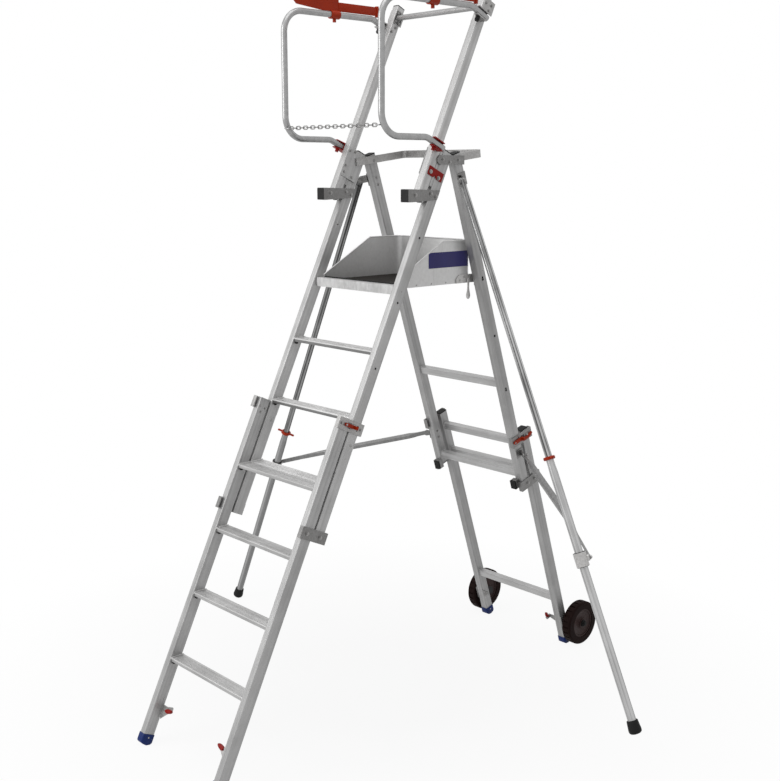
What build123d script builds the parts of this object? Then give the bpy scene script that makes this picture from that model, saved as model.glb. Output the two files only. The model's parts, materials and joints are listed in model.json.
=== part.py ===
from build123d import *
import math
import os

# A rolling work platform: a telescopic step ladder with a guarded deck, a telescopic
# rear frame on two wheels, and two side stabilisers.
# X runs across the ladder, Y from the climber to the rear legs, Z up from the floor.
# Sizes are in millimetres and angles in degrees.

# Heights and slopes
STEP_PITCH = 235.0
FIRST_TREAD = 320.0
LOWER_TREADS = 4
UPPER_TREADS = 3
LADDER_TILT = 25.5
LEG_TILT = 18.1

# Front stiles
LADDER_WIDTH = 520.0
STILE_B = 30.0
STILE_D = 47.0
STILE_WALL = 2.5
TUBE_ROUND = 4.0
SECTION_GAP = 7.5
UPPER_TAIL = 190.0
LOWER_HEAD = 228.0
STILE_HEAD = 498.0
LOCK_HOLE = 9.0
LOCK_HOLES = 3

# Treads
TREAD_D = 55.0
TREAD_H = 16.0
TREAD_LIP = 8.0
TREAD_CHAMFER = 10.0
TREAD_WALL = 2.0
TREAD_NOSE = 3.0
TREAD_SETBACK = 2.0
RIB_PITCH = 7.0
RIB_GAP = 3.0
RIB_DEPTH = 0.9

# Guide brackets that hold two sliding sections together
GUIDE_T = 4.0
GUIDE_H = 45.0
GUIDE_REACH = 8.0
GUIDE_LIP = 14.0
SLIDE_GAP = 0.5
WINDOW_L = 56.0
WINDOW_H = 22.0

# Red locking levers on the guide brackets
LEVER_T = 7.0
LEVER_H = 13.0
LEVER_L = 58.0
LEVER_TAB = 12.0
LEVER_PIN = 4.0
TURN_GAP = 0.4
PIN_GAP = 0.05

# Feet
CAP_WALL = 3.0
CAP_SLEEVE = 28.0
SOLE = 14.0
SOLE_GROOVE = 3.0
HOOK_T = 5.0
HOOK_L = 36.0
HOOK_H = 26.0
HOOK_RISE = 112.0
HOOK_NECK = 12.0
TIP_R = 7.0
TIP_L = 24.0

# Guardrail posts, their yokes and plates
POST_B = 33.0
POST_D = 40.0
POST_FOOT = 320.0
POST_HEAD = 1085.0
YOKE_RISE = 330.0
YOKE_H = 48.0
YOKE_TAIL_H = 35.0
YOKE_T = 3.0
YOKE_AHEAD = 34.0
YOKE_BEHIND = -4.0
BUMPER = 18.0
PLATE_T = 3.0
GUSSET_RISE = 438.0
GUSSET_L = 120.0
LATCH_RISE = 407.0
LATCH_H = 34.0
BACK_RAIL_R = 11.0
BACK_RAIL_DROP = 49.0
RAIL_WALL = 2.0

# Knee band round the back and the plates of the leg pivots
BAND_RISE = 466.0
BAND_SLOPE = 7.3
BAND_H = 30.0
PIVOT_DROP = 5.0
BAND_T = 5.0
BAND_BACK = 180.0
BAND_ROUND = 14.0
BAND_FRONT = 95.0
HANGER_T = 4.0
HANGER_H = 34.0
PIVOT_R = 7.0

# Side guard loops
LOOP_R = 12.0
LOOP_WALL = 2.0
LOOP_LOW = 543.0
LOOP_DROP = 57.0
LOOP_BEND = 118.0
LOOP_TAIL = 24.0
LOOP_FRONT = 99.0
LOOP_CORNER = 85.0
LOOP_KNEE = 60.0
LOOP_PIN_R = 4.0
LOOP_PIN_AHEAD = 16.0
CLEVIS_T = 4.0
CLEVIS_GAP = 1.0
CLEVIS_FRONT = 18.0
CLEVIS_REAR = 22.0
EYE_T = 4.0
EYE_R = 9.0
KNOB_R = 7.0
KNOB_H = 12.0

# Red flaps clipped to the top rails of the loops
FLAP_T = 4.0
FLAP_CLIP_L = 44.0
FLAP_CLIP_WALL = 4.5
FLAP_CLIP_Y = 154.0
FLAP_L = 206.0
FLAP_H = 44.0
FLAP_RISE = 13.0
ARM_H = 18.0
ARM_L = 224.0

# Chain across the front of the loops
CHAIN_RISE = 582.0
LINK_WIRE_R = 2.0
LINKS = 23
LINK_WIDTH = 8.0
LINK_PLAY = 0.3
EYE_PLAY = 0.9

# Deck and toe board
DECK_FRONT = 6.0
DECK_BACK = 446.0
DECK_T = 3.0
NOSING_H = 35.0
NOSING_D = 26.0
NOSING_WALL = 3.0
TUB_HALF = 212.0
TOE_H = 150.0
TOE_T = 2.0
TOE_ROUND = 30.0
TOE_SLOPE = 250.0
TOE_LOW = 10.0
DECK_PIVOT_R = 6.0
DECK_PIVOT_DROP = 18.0
DECK_PIVOT_BACK = 20.0
REST_L = 130.0
REST_H = 34.0
REST_T = 5.0
REST_PIN_R = 8.0
DROP_LEVER_H = 58.0
DROP_LEVER_R = 8.0
DROP_LEVER_T = 4.0
DROP_LEVER_AHEAD = 48.0

# Rear frame
LEG_AT_DECK = 440.0
LEG_WIDTH = 520.0
LEG_B = 36.0
LEG_D = 42.0
LEG_WALL = 2.5
LEG_GAP = 16.5
LEG_FOOT = 903.0
LEG_HEAD = 24.0
LEG_LAP = 216.0
GUIDE_HANG = 30.0
LOW_LEG_INSET = 2.0
LOW_LEG_WIDTH = LEG_WIDTH - 2 * LOW_LEG_INSET
LOW_LEG_B = 35.0
LOW_LEG_D = 43.0
RAIL_H = 30.0
RAIL_D = 25.0
UPPER_RAIL_DROPS = (447.0, 856.0)
LOWER_RAIL_DROPS = (66.0, 196.0)
BOTTOM_RAIL_Z = 236.0
STUB_B = 28.0
STUB_H = 38.0
STUB_L = 20.0
STUB_IN = 12.0
STUB_DROP = 14.0
STUB_WALL = 3.0
PLUG_T = 8.0
CAP_T = 4.0

# Wheels
WHEEL_R = 100.0
WHEEL_W = 46.0
WHEEL_LIFT = 4.0
WHEEL_BACK = 40.0
TYRE_DEPTH = 34.0
TYRE_ROUND = 9.0
TREAD_CUTS = 24
TREAD_CUT_W = 7.0
TREAD_CUT_D = 4.0
HUB_WEB = 10.0
HUB_BOSS_R = 22.0
HUB_RIM = 8.0
SPOKE_HOLES = 5
SPOKE_HOLE_R = 12.0
AXLE_R = 10.0
AXLE_PLATE_T = 6.0
WHEEL_SIDE_GAP = 7.0

# Stabilisers
STAB_SPREAD = 24.7
STAB_TOP_RISE = 383.0
STAB_TOP_N = -12.0
BRACE_DROP = 765.0
BRACE_N = 8.0
STAB_OUT = 30.0
STAB_R = 13.0
STAB_TUBE_WALL = 2.0
STAB_LOW_R = 18.7
STAB_FIT = 0.35
STAB_TOP_L = 1600.0
STAB_LOW_L = 1000.0
STAB_RAISED = 190.0
STAB_FOOT_R = 26.0
STAB_FOOT_H = 36.0
COLLAR_AT = 1488.0
COLLAR_WALL = 5.0
COLLAR_H = 52.0
LUG_T = 5.0
LUG_R = 12.0
BRACE_W = 18.0
BRACE_D = 26.0
BRACE_T = 6.0
BRACE_WALL = 2.5
BRACE_LEG_OFF = 8.0
LEG_TONGUE = 50.0
COLLAR_TONGUE = 130.0
TONGUE_LAP = 20.0
BRACE_PIN_R = 4.5
BRACE_FOOT_H = 36.0
RING_WALL = 6.0
RING_H = 20.0
RING_EAR = 16.0
EAR_T = 10.0

# Derived places
DECK_Z = FIRST_TREAD + (LOWER_TREADS + UPPER_TREADS - 1) * STEP_PITCH
SIN_F = math.sin(math.radians(LADDER_TILT))
COS_F = math.cos(math.radians(LADDER_TILT))
SIN_R = math.sin(math.radians(LEG_TILT))
COS_R = math.cos(math.radians(LEG_TILT))
HALF = LADDER_WIDTH / 2
LEG_HALF = LEG_WIDTH / 2
LOW_LEG_HALF = LOW_LEG_WIDTH / 2
INNER = LADDER_WIDTH - 2 * STILE_B
LOWER_N = -(STILE_D + SECTION_GAP)
LAP_TREAD_Z = FIRST_TREAD + (LOWER_TREADS - 1) * STEP_PITCH
LEG_TAN = SIN_R / COS_R
LADDER_TAN = SIN_F / COS_F

# Local frames: x across, y square to the members towards the rear, z up along them
LADDER = Plane((0, -DECK_Z * LADDER_TAN, 0), x_dir=(1, 0, 0), z_dir=(0, SIN_F, COS_F)).location
LEGS = Plane((0, LEG_AT_DECK + DECK_Z * LEG_TAN, 0), x_dir=(1, 0, 0), z_dir=(0, -SIN_R, COS_R)).location


def along_ladder(z, n=0.0):
    """Distance up the front stiles to height z, n behind their front face."""
    return (z + n * SIN_F) / COS_F


def along_legs(z, n=0.0):
    """Distance up the rear legs to height z, n behind their front face."""
    return (z - n * SIN_R) / COS_R


def ladder_y(z):
    """Y of the upper stiles' front face at height z."""
    return (z - DECK_Z) * LADDER_TAN


def leg_y(z):
    """Y of the upper rear legs' front face at height z."""
    return LEG_AT_DECK - (z - DECK_Z) * LEG_TAN


def box_tube(width, depth, wall, length):
    """Rounded rectangular tube along Z, its middle on the Z axis."""
    outer = RectangleRounded(width, depth, TUBE_ROUND)
    bore = Rectangle(width - 2 * wall, depth - 2 * wall)
    return extrude(outer - bore, amount=length)


def block(x0, x1, y0, y1, z0, z1):
    """Box between two corners."""
    return Pos((x0 + x1) / 2, (y0 + y1) / 2, (z0 + z1) / 2) * Box(x1 - x0, y1 - y0, z1 - z0)


def side_plate(points, x0, x1):
    """Plate with an outline in Y and Z, between two X planes."""
    outline = Plane.YZ * Polygon(*points, align=None)
    return Pos(x0, 0, 0) * extrude(outline, amount=x1 - x0, dir=(1, 0, 0))


def rod(start, end, radius):
    """Round bar between two points."""
    a = Vector(*start)
    d = Vector(*end) - a
    return Plane(a, z_dir=d).location * Cylinder(radius, d.length, align=(Align.CENTER, Align.CENTER, Align.MIN))


def left_of(part):
    """The same piece on the other side of the ladder."""
    return mirror(part, about=Plane.YZ)


def group(*parts):
    """Pieces and their mirror images, as separate solids of one node."""
    return Compound([solid for part in parts for side in (part, left_of(part)) for solid in side.solids()])


# Front ladder

def lock_pin_z():
    """Height of the locking pin of the front guide bracket."""
    return LAP_TREAD_Z + LOWER_HEAD - GUIDE_H


def upper_stile():
    u0 = along_ladder(LAP_TREAD_Z - UPPER_TAIL)
    u1 = along_ladder(DECK_Z + STILE_HEAD)
    tube = Pos(HALF - STILE_B / 2, STILE_D / 2, u0) * box_tube(STILE_B, STILE_D, STILE_WALL, u1 - u0)
    for i in range(1, LOCK_HOLES + 1):
        u = along_ladder(lock_pin_z() + i * STEP_PITCH)
        drill = Pos(HALF, STILE_D / 2, u) * Rot(0, 90, 0) * Cylinder(LOCK_HOLE / 2, 4 * STILE_WALL)
        tube -= drill
    return LADDER * tube


def lower_stile():
    u0 = along_ladder(SOLE)
    u1 = along_ladder(LAP_TREAD_Z + LOWER_HEAD)
    tube = box_tube(STILE_B, STILE_D, STILE_WALL, u1 - u0)
    return LADDER * Pos(HALF - STILE_B / 2, LOWER_N + STILE_D / 2, u0) * tube


def tread_profile():
    """Hollow tread section: nose at the front, ribbed top, bevelled underside at the rear."""
    outline = Polygon(
        (0, -TREAD_H), (0, 0), (TREAD_D, 0), (TREAD_D, -TREAD_LIP), (TREAD_D - TREAD_CHAMFER, -TREAD_H),
        align=None,
    )
    hollow = offset(outline, amount=-TREAD_WALL)
    nose = outline.vertices().sort_by(Axis.X)[:2]
    section = fillet(nose, TREAD_NOSE) - hollow
    grooves = int((TREAD_D - 2 * RIB_PITCH) / RIB_PITCH)
    for i in range(grooves + 1):
        section -= Pos(RIB_PITCH * (i + 1), 0) * Rectangle(RIB_GAP, 2 * RIB_DEPTH)
    return section


def tread(z, n):
    """Tread whose top is at height z, its nose n behind the upper stiles' front face."""
    y = ladder_y(z) + n / COS_F + TREAD_SETBACK
    return Pos(0, y, z) * extrude(Plane.YZ * tread_profile(), amount=INNER / 2, both=True)


def foot_cap(b, d):
    """Shoe on the end of a tube: a sleeve and a thick closed end, before the floor cuts it."""
    outline = RectangleRounded(b + 2 * CAP_WALL, d + 2 * CAP_WALL, TUBE_ROUND)
    shoe = Pos(0, 0, -4 * SOLE) * extrude(outline, amount=4 * SOLE + CAP_SLEEVE)
    return shoe - extrude(RectangleRounded(b, d, TUBE_ROUND), amount=2 * CAP_SLEEVE)


def on_floor(part):
    """Cut a shoe level with the floor and groove its sole."""
    box = part.bounding_box()
    part &= block(box.min.X - 1, box.max.X + 1, box.min.Y - 1, box.max.Y + 1, 0, box.max.Z + 1)
    sole = part.faces().sort_by(Axis.Z)[0].center()
    for i in (-1, 0, 1):
        y = sole.Y + (i - 0.125) * 4 * SOLE_GROOVE
        part -= block(box.min.X - 1, box.max.X + 1, y, y + SOLE_GROOVE, -1, SOLE_GROOVE / 2)
    return part


def front_foot():
    place = LADDER * Pos(HALF - STILE_B / 2, LOWER_N + STILE_D / 2, along_ladder(SOLE))
    return on_floor(place * foot_cap(STILE_B, STILE_D))


def foot_hook(x, n, sign):
    """Catch on the inner face of a stile or leg: a tapered arm inwards and a round tip to the back or front."""
    outline = Polygon((x, 0), (x, HOOK_H), (x - HOOK_L, HOOK_H), (x - HOOK_L, HOOK_H - HOOK_NECK), align=None)
    arm = extrude(Plane.XZ * outline, amount=HOOK_T / 2, both=True)
    z = HOOK_H - HOOK_NECK / 2
    tip = rod((x - HOOK_L + TIP_R, 0, z), (x - HOOK_L + TIP_R, sign * TIP_L, z), TIP_R)
    return Pos(0, n, 0) * (arm + tip)


def front_hook():
    n = LOWER_N + STILE_D - HOOK_T
    return LADDER * Pos(0, 0, along_ladder(HOOK_RISE)) * foot_hook(HALF - STILE_B, n, 1)


# Guide brackets and levers

def guide(x_face, n0, n1, seat_x, seat_n, seat_d):
    """C-shaped bracket round two sections, open to the inside, seated on one of them by a pad."""
    x0 = x_face + SLIDE_GAP
    x1 = x0 + GUIDE_T
    front = n0 - GUIDE_REACH
    back = n1 + GUIDE_REACH
    outer = block(x_face - GUIDE_LIP, x1, front - GUIDE_T, back + GUIDE_T, 0, GUIDE_H)
    shell = outer - block(x_face - 2 * GUIDE_LIP, x0, front, back, -1, GUIDE_H + 1)
    return shell + block(seat_x, x0, seat_n, seat_n + seat_d, 0, GUIDE_H)


def lever_stud(x_face, n, u):
    """Stud that carries a locking lever, out of the guide's plate."""
    x0 = x_face + SLIDE_GAP + GUIDE_T
    stud = Cylinder(LEVER_PIN, LEVER_T + TURN_GAP, align=(Align.CENTER, Align.CENTER, Align.MIN))
    return Pos(x0, n, u) * Rot(0, 90, 0) * stud


def locking_guide(body, x_face, stud_n):
    """Guide bracket with a window beside the lock pin and a stud for the lever."""
    middle = GUIDE_H / 2
    start = stud_n + 2 * LEVER_PIN
    body -= block(x_face, x_face + 3 * GUIDE_T, start, start + WINDOW_L, middle - WINDOW_H / 2,
                  middle + WINDOW_H / 2)
    return body + lever_stud(x_face, stud_n, middle)


def lever(x_face, stud_n):
    """Bent thumb lever that turns on the stud of a locking guide."""
    x0 = x_face + SLIDE_GAP + GUIDE_T + TURN_GAP
    arm = SlotCenterToCenter(LEVER_L - LEVER_H, LEVER_H)
    outline = Pos((LEVER_L - LEVER_H) / 2, 0) * arm - Circle(LEVER_PIN + PIN_GAP)
    bar = extrude(Plane.YZ * outline, amount=LEVER_T)
    end = LEVER_L - LEVER_H
    tab = block(0, LEVER_T + LEVER_TAB, end - LEVER_T / 2, end + LEVER_T / 2, -LEVER_H / 2, LEVER_H / 2)
    return Pos(x0, stud_n, GUIDE_H / 2) * (bar + tab)


FRONT_STUD_N = LOWER_N + STILE_D / 2
REAR_STUD_N = 0.0


def front_guide_u():
    return along_ladder(LAP_TREAD_Z + LOWER_HEAD) - GUIDE_H


def rear_guide_u():
    return along_legs(DECK_Z - LEG_FOOT + LEG_LAP) - GUIDE_H


def upper_guide():
    u = along_ladder(LAP_TREAD_Z - UPPER_TAIL)
    return LADDER * Pos(0, 0, u) * guide(HALF, LOWER_N, STILE_D, HALF, 0, STILE_D)


def front_guide():
    shape = guide(HALF, LOWER_N, STILE_D, HALF, LOWER_N, STILE_D)
    return LADDER * Pos(0, 0, front_guide_u()) * locking_guide(shape, HALF, FRONT_STUD_N)


def front_lever():
    return LADDER * Pos(0, 0, front_guide_u()) * lever(HALF, FRONT_STUD_N)


# Guardrail posts and their fittings

def post():
    n = LOWER_N
    u0 = along_ladder(DECK_Z + POST_FOOT, n)
    u1 = along_ladder(DECK_Z + POST_HEAD, n)
    tube = box_tube(POST_B, POST_D, STILE_WALL, u1 - u0)
    return LADDER * Pos(HALF - POST_B / 2, n + POST_D / 2, u0) * tube


def yoke_span():
    """Front and rear ends of the yokes in Y, at their mid height."""
    z = DECK_Z + YOKE_RISE
    front = ladder_y(z) + LOWER_N / COS_F - YOKE_AHEAD
    back = ladder_y(z) + STILE_D / COS_F + YOKE_BEHIND
    return z, front, back


def yoke():
    """Two level plates that clasp a post and a stile, joined at the front."""
    z, front, back = yoke_span()
    low = z - YOKE_H / 2
    high = z + YOKE_H / 2
    tail = YOKE_TAIL_H / 2
    slant = tail * LADDER_TAN
    points = ((front, low), (front, high), (back + slant, z + tail), (back - slant, z - tail))
    outer = side_plate(points, HALF, HALF + YOKE_T)
    inner = side_plate(points, HALF - POST_B - YOKE_T, HALF - POST_B)
    bridge = block(HALF - POST_B - YOKE_T, HALF + YOKE_T, front, front + YOKE_T, low, high)
    return outer + inner + bridge


def yoke_bumper():
    z, front, _ = yoke_span()
    cap = block(HALF - POST_B - YOKE_T, HALF + YOKE_T, front - BUMPER, front, z - YOKE_H / 2, z + YOKE_H / 2)
    return fillet(cap.edges().filter_by(Axis.X).group_by(Axis.Y)[0], TUBE_ROUND)


def gusset():
    """Plate inside a post and a stile that ties them together above the yoke."""
    u = along_ladder(DECK_Z + GUSSET_RISE)
    x1 = HALF - POST_B
    plate = block(x1 - PLATE_T, x1, LOWER_N, STILE_D - GUIDE_REACH, u - GUSSET_L / 2, u + GUSSET_L / 2)
    plate = chamfer(plate.edges().filter_by(Axis.X), GUIDE_REACH)
    spacer = block(x1, HALF - STILE_B, GUIDE_REACH, STILE_D - 2 * GUIDE_REACH, u - GUSSET_L / 4, u + GUSSET_L / 4)
    return LADDER * (plate + spacer)


def post_latch():
    """Red keeper plate with a notch, on the outer face of a post and its stile."""
    u = along_ladder(DECK_Z + LATCH_RISE)
    half = LATCH_H / 2
    n0 = LOWER_N + POST_D / 4
    n1 = STILE_D * 0.75
    notch = (n0 + n1) / 2
    points = (
        (n0, -half), (n0, half), (n1, half), (n1, -half),
        (notch + half / 2, -half), (notch, -half / 3), (notch - half / 2, -half),
    )
    plate = Pos(HALF, 0, u) * side_plate(points, 0, YOKE_T)
    return LADDER * plate


def back_rail():
    """Round rail between the posts."""
    n = LOWER_N + POST_D / 2
    u = along_ladder(DECK_Z + POST_HEAD - BACK_RAIL_DROP, n)
    ring = Circle(BACK_RAIL_R) - Circle(BACK_RAIL_R - RAIL_WALL)
    half = HALF - POST_B - PLATE_T
    tube = extrude(Plane.YZ * ring, amount=half, both=True)
    return LADDER * Pos(0, n, u) * tube


def rail_plate():
    """Plate inside the head of a post that carries the back rail."""
    n = LOWER_N + POST_D / 2
    u = along_ladder(DECK_Z + POST_HEAD - BACK_RAIL_DROP, n)
    x1 = HALF - POST_B
    plate = block(x1 - PLATE_T, x1, n - POST_D / 2, n + POST_D / 2, u - POST_D * 0.75, u + POST_D * 0.75)
    plate = chamfer(plate.edges().filter_by(Axis.X), GUIDE_REACH)
    return LADDER * plate


def post_cap():
    n = LOWER_N + POST_D / 2
    u = along_ladder(DECK_Z + POST_HEAD, LOWER_N)
    cap = extrude(RectangleRounded(POST_B, POST_D, TUBE_ROUND), amount=CAP_T)
    plug = extrude(Rectangle(POST_B - 2 * STILE_WALL, POST_D - 2 * STILE_WALL), amount=-2 * CAP_T)
    return LADDER * Pos(HALF - POST_B / 2, n, u) * (cap + plug)


def stile_cap():
    u = along_ladder(DECK_Z + STILE_HEAD)
    cap = extrude(RectangleRounded(STILE_B, STILE_D, TUBE_ROUND), amount=CAP_T)
    plug = extrude(Rectangle(STILE_B - 2 * STILE_WALL, STILE_D - 2 * STILE_WALL), amount=-2 * CAP_T)
    return LADDER * Pos(HALF - STILE_B / 2, STILE_D / 2, u) * (cap + plug)


# Knee band and leg hangers

BAND_Z = DECK_Z + BAND_RISE
PIVOT_Z = BAND_Z - PIVOT_DROP
PIVOT_Y = leg_y(PIVOT_Z) + LEG_D / 2 / COS_R
BAND_X = min(LEG_HALF - LEG_B, HALF - POST_B - PLATE_T) - 2 * SLIDE_GAP


def knee_band():
    """Flat bar bent round the back and rising to it, with bosses that stand it off the stiles."""
    half = BAND_H / 2
    outer = block(-BAND_X, BAND_X, -BAND_FRONT, BAND_BACK, -half, half)
    corner = outer.edges().filter_by(Axis.Z).group_by(Axis.Y)[-1]
    outer = fillet(corner, BAND_ROUND + BAND_T)
    inner_x = BAND_X - BAND_T
    inner = block(-inner_x, inner_x, -2 * BAND_FRONT, BAND_BACK - BAND_T, -BAND_H, BAND_H)
    corner = inner.edges().filter_by(Axis.Z).group_by(Axis.Y)[-1]
    band = outer - fillet(corner, BAND_ROUND)
    boss_y = ladder_y(BAND_Z) + STILE_D / 2 / COS_F - PIVOT_Y
    for side in (-1, 1):
        boss_x = side * (HALF - POST_B - PLATE_T)
        band += rod((side * inner_x, boss_y, 0), (boss_x, boss_y, 0), BAND_H / 3)
    band = Pos(0, PIVOT_Y, BAND_Z) * Rot(BAND_SLOPE, 0, 0) * band
    return band - rod((-HALF, PIVOT_Y, PIVOT_Z), (HALF, PIVOT_Y, PIVOT_Z), PIVOT_R + PIN_GAP)


def hanger():
    """Outer plate from a stile to the head of its rear leg, with the pivot bolt."""
    x0 = max(HALF, LEG_HALF) + SLIDE_GAP
    y0 = ladder_y(PIVOT_Z) - STILE_D / 2
    y1 = PIVOT_Y + LEG_D * 0.75
    low = PIVOT_Z - HANGER_H / 2
    high = PIVOT_Z + HANGER_H / 2
    cut = HANGER_H / 3
    points = ((y0, low + cut), (y0, high - cut), (y0 + cut, high), (y1, high), (y1, low), (y0 + cut, low))
    plate = side_plate(points, x0, x0 + HANGER_T)
    bolt = rod((BAND_X - BAND_T, PIVOT_Y, PIVOT_Z), (x0 + HANGER_T, PIVOT_Y, PIVOT_Z), PIVOT_R)
    y = ladder_y(PIVOT_Z) + STILE_D / 2 / COS_F
    stand = rod((HALF, y, PIVOT_Z), (x0, y, PIVOT_Z), BAND_H / 3)
    return plate + bolt + stand


# Side guard loops, flaps and chain

LOOP_X = HALF + PLATE_T + CLEVIS_GAP + LOOP_R
LOOP_PIN_N = LOWER_N - LOOP_PIN_AHEAD
LOW_RAIL_Z = DECK_Z + LOOP_LOW
HIGH_RAIL_Z = DECK_Z + POST_HEAD - LOOP_DROP
LOW_TAIL_U = along_ladder(LOW_RAIL_Z, -LOOP_BEND)
HIGH_TAIL_U = along_ladder(HIGH_RAIL_Z, -LOOP_BEND)
LOOP_FRONT_Y = -LOOP_FRONT
CHAIN_Z = DECK_Z + CHAIN_RISE


def ladder_point(x, n, u):
    """Position of a point that is given in the ladder's own directions."""
    return (LADDER * Pos(x, n, u)).position


def loop_path(x):
    points = (
        ladder_point(x, -LOOP_TAIL, LOW_TAIL_U),
        ladder_point(x, -LOOP_BEND, LOW_TAIL_U),
        Vector(x, LOOP_FRONT_Y, LOW_RAIL_Z),
        Vector(x, LOOP_FRONT_Y, HIGH_RAIL_Z),
        ladder_point(x, -LOOP_BEND, HIGH_TAIL_U),
        ladder_point(x, -LOOP_TAIL, HIGH_TAIL_U),
    )
    return FilletPolyline(*points, radius=[LOOP_KNEE, LOOP_CORNER, LOOP_CORNER, LOOP_KNEE])


def loop_pin(u, radius):
    reach = LOOP_R + CLEVIS_GAP + CLEVIS_T
    return LADDER * rod((LOOP_X, LOOP_PIN_N, u - reach), (LOOP_X, LOOP_PIN_N, u + reach), radius)


def chain_eye():
    """Welded eye on the upright of a loop, for the end link of the chain."""
    outline = Circle(EYE_R) + Pos(EYE_R, 0) * Rectangle(2 * EYE_R, 2 * EYE_R) - Circle(EYE_HOLE_R)
    return Pos(EYE_X, LOOP_FRONT_Y, CHAIN_Z) * extrude(outline, amount=EYE_T / 2, both=True)


def loop():
    """Bent tube with its tails drilled for the clevis pins and an eye for the chain."""
    path = loop_path(LOOP_X)
    ends = Plane(path @ 0, z_dir=path % 0)
    tube = sweep(ends * Circle(LOOP_R), path=path)
    tube += chain_eye()
    tube -= sweep(ends * Circle(LOOP_R - LOOP_WALL), path=path)
    for u in (LOW_TAIL_U, HIGH_TAIL_U):
        tube -= loop_pin(u, LOOP_PIN_R + PIN_GAP)
    return tube


def clevis(u):
    """Two flanges square to a post, round the tail of a loop, with their pin and knob."""
    flange = LOOP_R + CLEVIS_GAP
    x1 = LOOP_X + LOOP_R
    front = LOOP_PIN_N - CLEVIS_FRONT
    back = LOWER_N + CLEVIS_REAR
    web = block(HALF, HALF + PLATE_T, LOWER_N, back, -flange - CLEVIS_T, flange + CLEVIS_T)
    outline = Polygon((HALF, LOWER_N), (HALF, back), (x1, back), (x1, front), (HALF + LOOP_R, front), align=None)
    ear = extrude(outline, amount=CLEVIS_T, dir=(0, 0, 1))
    ears = Pos(0, 0, flange) * ear + Pos(0, 0, -flange - CLEVIS_T) * ear
    knob = Cylinder(KNOB_R, KNOB_H, align=(Align.CENTER, Align.CENTER, Align.MAX))
    pin = loop_pin(u, LOOP_PIN_R)
    body = Pos(0, 0, u) * (web + ears + Pos(LOOP_X, LOOP_PIN_N, -flange - CLEVIS_T) * knob)
    return LADDER * body + pin


def flap():
    """Red flap on a loop's top rail: clip round the tube, blade in front, arm behind."""
    y0 = FLAP_CLIP_Y
    outer_r = LOOP_R + TURN_GAP + FLAP_CLIP_WALL
    blade_low = LOOP_R + FLAP_RISE
    nose = FLAP_H / 3
    points = (
        (FLAP_CLIP_L / 2, outer_r / 2), (FLAP_CLIP_L / 2, blade_low + FLAP_H), (-FLAP_L + nose, blade_low + FLAP_H),
        (-FLAP_L, blade_low + FLAP_H - nose), (-FLAP_L, blade_low + nose), (-FLAP_L + nose, blade_low),
        (-FLAP_CLIP_L / 2, outer_r / 2),
    )
    blade = side_plate(points, -FLAP_T / 2, FLAP_T / 2)
    arm_z = blade_low + FLAP_H / 3
    arm = block(-FLAP_T / 2, FLAP_T / 2, 0, ARM_L, arm_z - ARM_H / 2, arm_z + ARM_H / 2)
    knob = rod((0, ARM_L, arm_z), (0, ARM_L + KNOB_H, arm_z), KNOB_R)
    screw = rod((0, 0, 0), (0, 0, -outer_r - KNOB_H), KNOB_R)
    clip = rod((0, -FLAP_CLIP_L / 2, 0), (0, FLAP_CLIP_L / 2, 0), outer_r)
    body = clip + blade + arm + knob + screw
    body -= rod((0, -FLAP_L, 0), (0, ARM_L, 0), LOOP_R + TURN_GAP)
    return Pos(LOOP_X, y0, HIGH_RAIL_Z) * body


EYE_X = LOOP_X - LOOP_R - EYE_R
EYE_HOLE_R = EYE_R - 2 * LINK_WIRE_R
LINK_PITCH = (2 * (EYE_X - EYE_HOLE_R + EYE_PLAY) - LINK_PLAY) / LINKS
LINK_INNER = LINK_PITCH + LINK_PLAY


def chain_link():
    """One link: round wire bent to a long ring that lies in the XZ plane."""
    ring = Plane.XZ * SlotCenterToCenter(LINK_INNER - LINK_WIDTH, LINK_WIDTH + 2 * LINK_WIRE_R)
    path = ring.face().outer_wire()
    start = Plane(path @ 0, z_dir=path % 0)
    return sweep(start * RegularPolygon(LINK_WIRE_R, 6), path=path)


def chain():
    """Taut links in turn upright and flat, from eye to eye."""
    links = []
    for i in range(LINKS):
        x = (i - (LINKS - 1) / 2) * LINK_PITCH
        links.append(Pos(x, LOOP_FRONT_Y, CHAIN_Z) * Rot(90 * (i % 2), 0, 0) * chain_link())
    return Compound([link.solid() for link in links])


# Deck

DECK_PIVOT = (ladder_y(DECK_Z) + DECK_PIVOT_BACK, DECK_Z - DECK_PIVOT_DROP)


def nosing():
    """Box edge at the front of the deck, with a slip-resistant lip."""
    y0 = DECK_FRONT
    outline = Rectangle(NOSING_D, NOSING_H) - Rectangle(NOSING_D - 2 * NOSING_WALL, NOSING_H - 2 * NOSING_WALL)
    for i in range(1, 4):
        outline -= Pos(i * RIB_PITCH - NOSING_D / 2 - RIB_GAP / 2, NOSING_H / 2) * Rectangle(RIB_GAP, 2 * RIB_DEPTH)
    half = HALF - STILE_B - 2 * PLATE_T
    bar = Pos(0, y0 + NOSING_D / 2, DECK_Z - NOSING_H / 2) * extrude(Plane.YZ * outline, amount=half, both=True)
    y, z = DECK_PIVOT
    return bar - rod((-HALF, y, z), (HALF, y, z), DECK_PIVOT_R + PIN_GAP)


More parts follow.
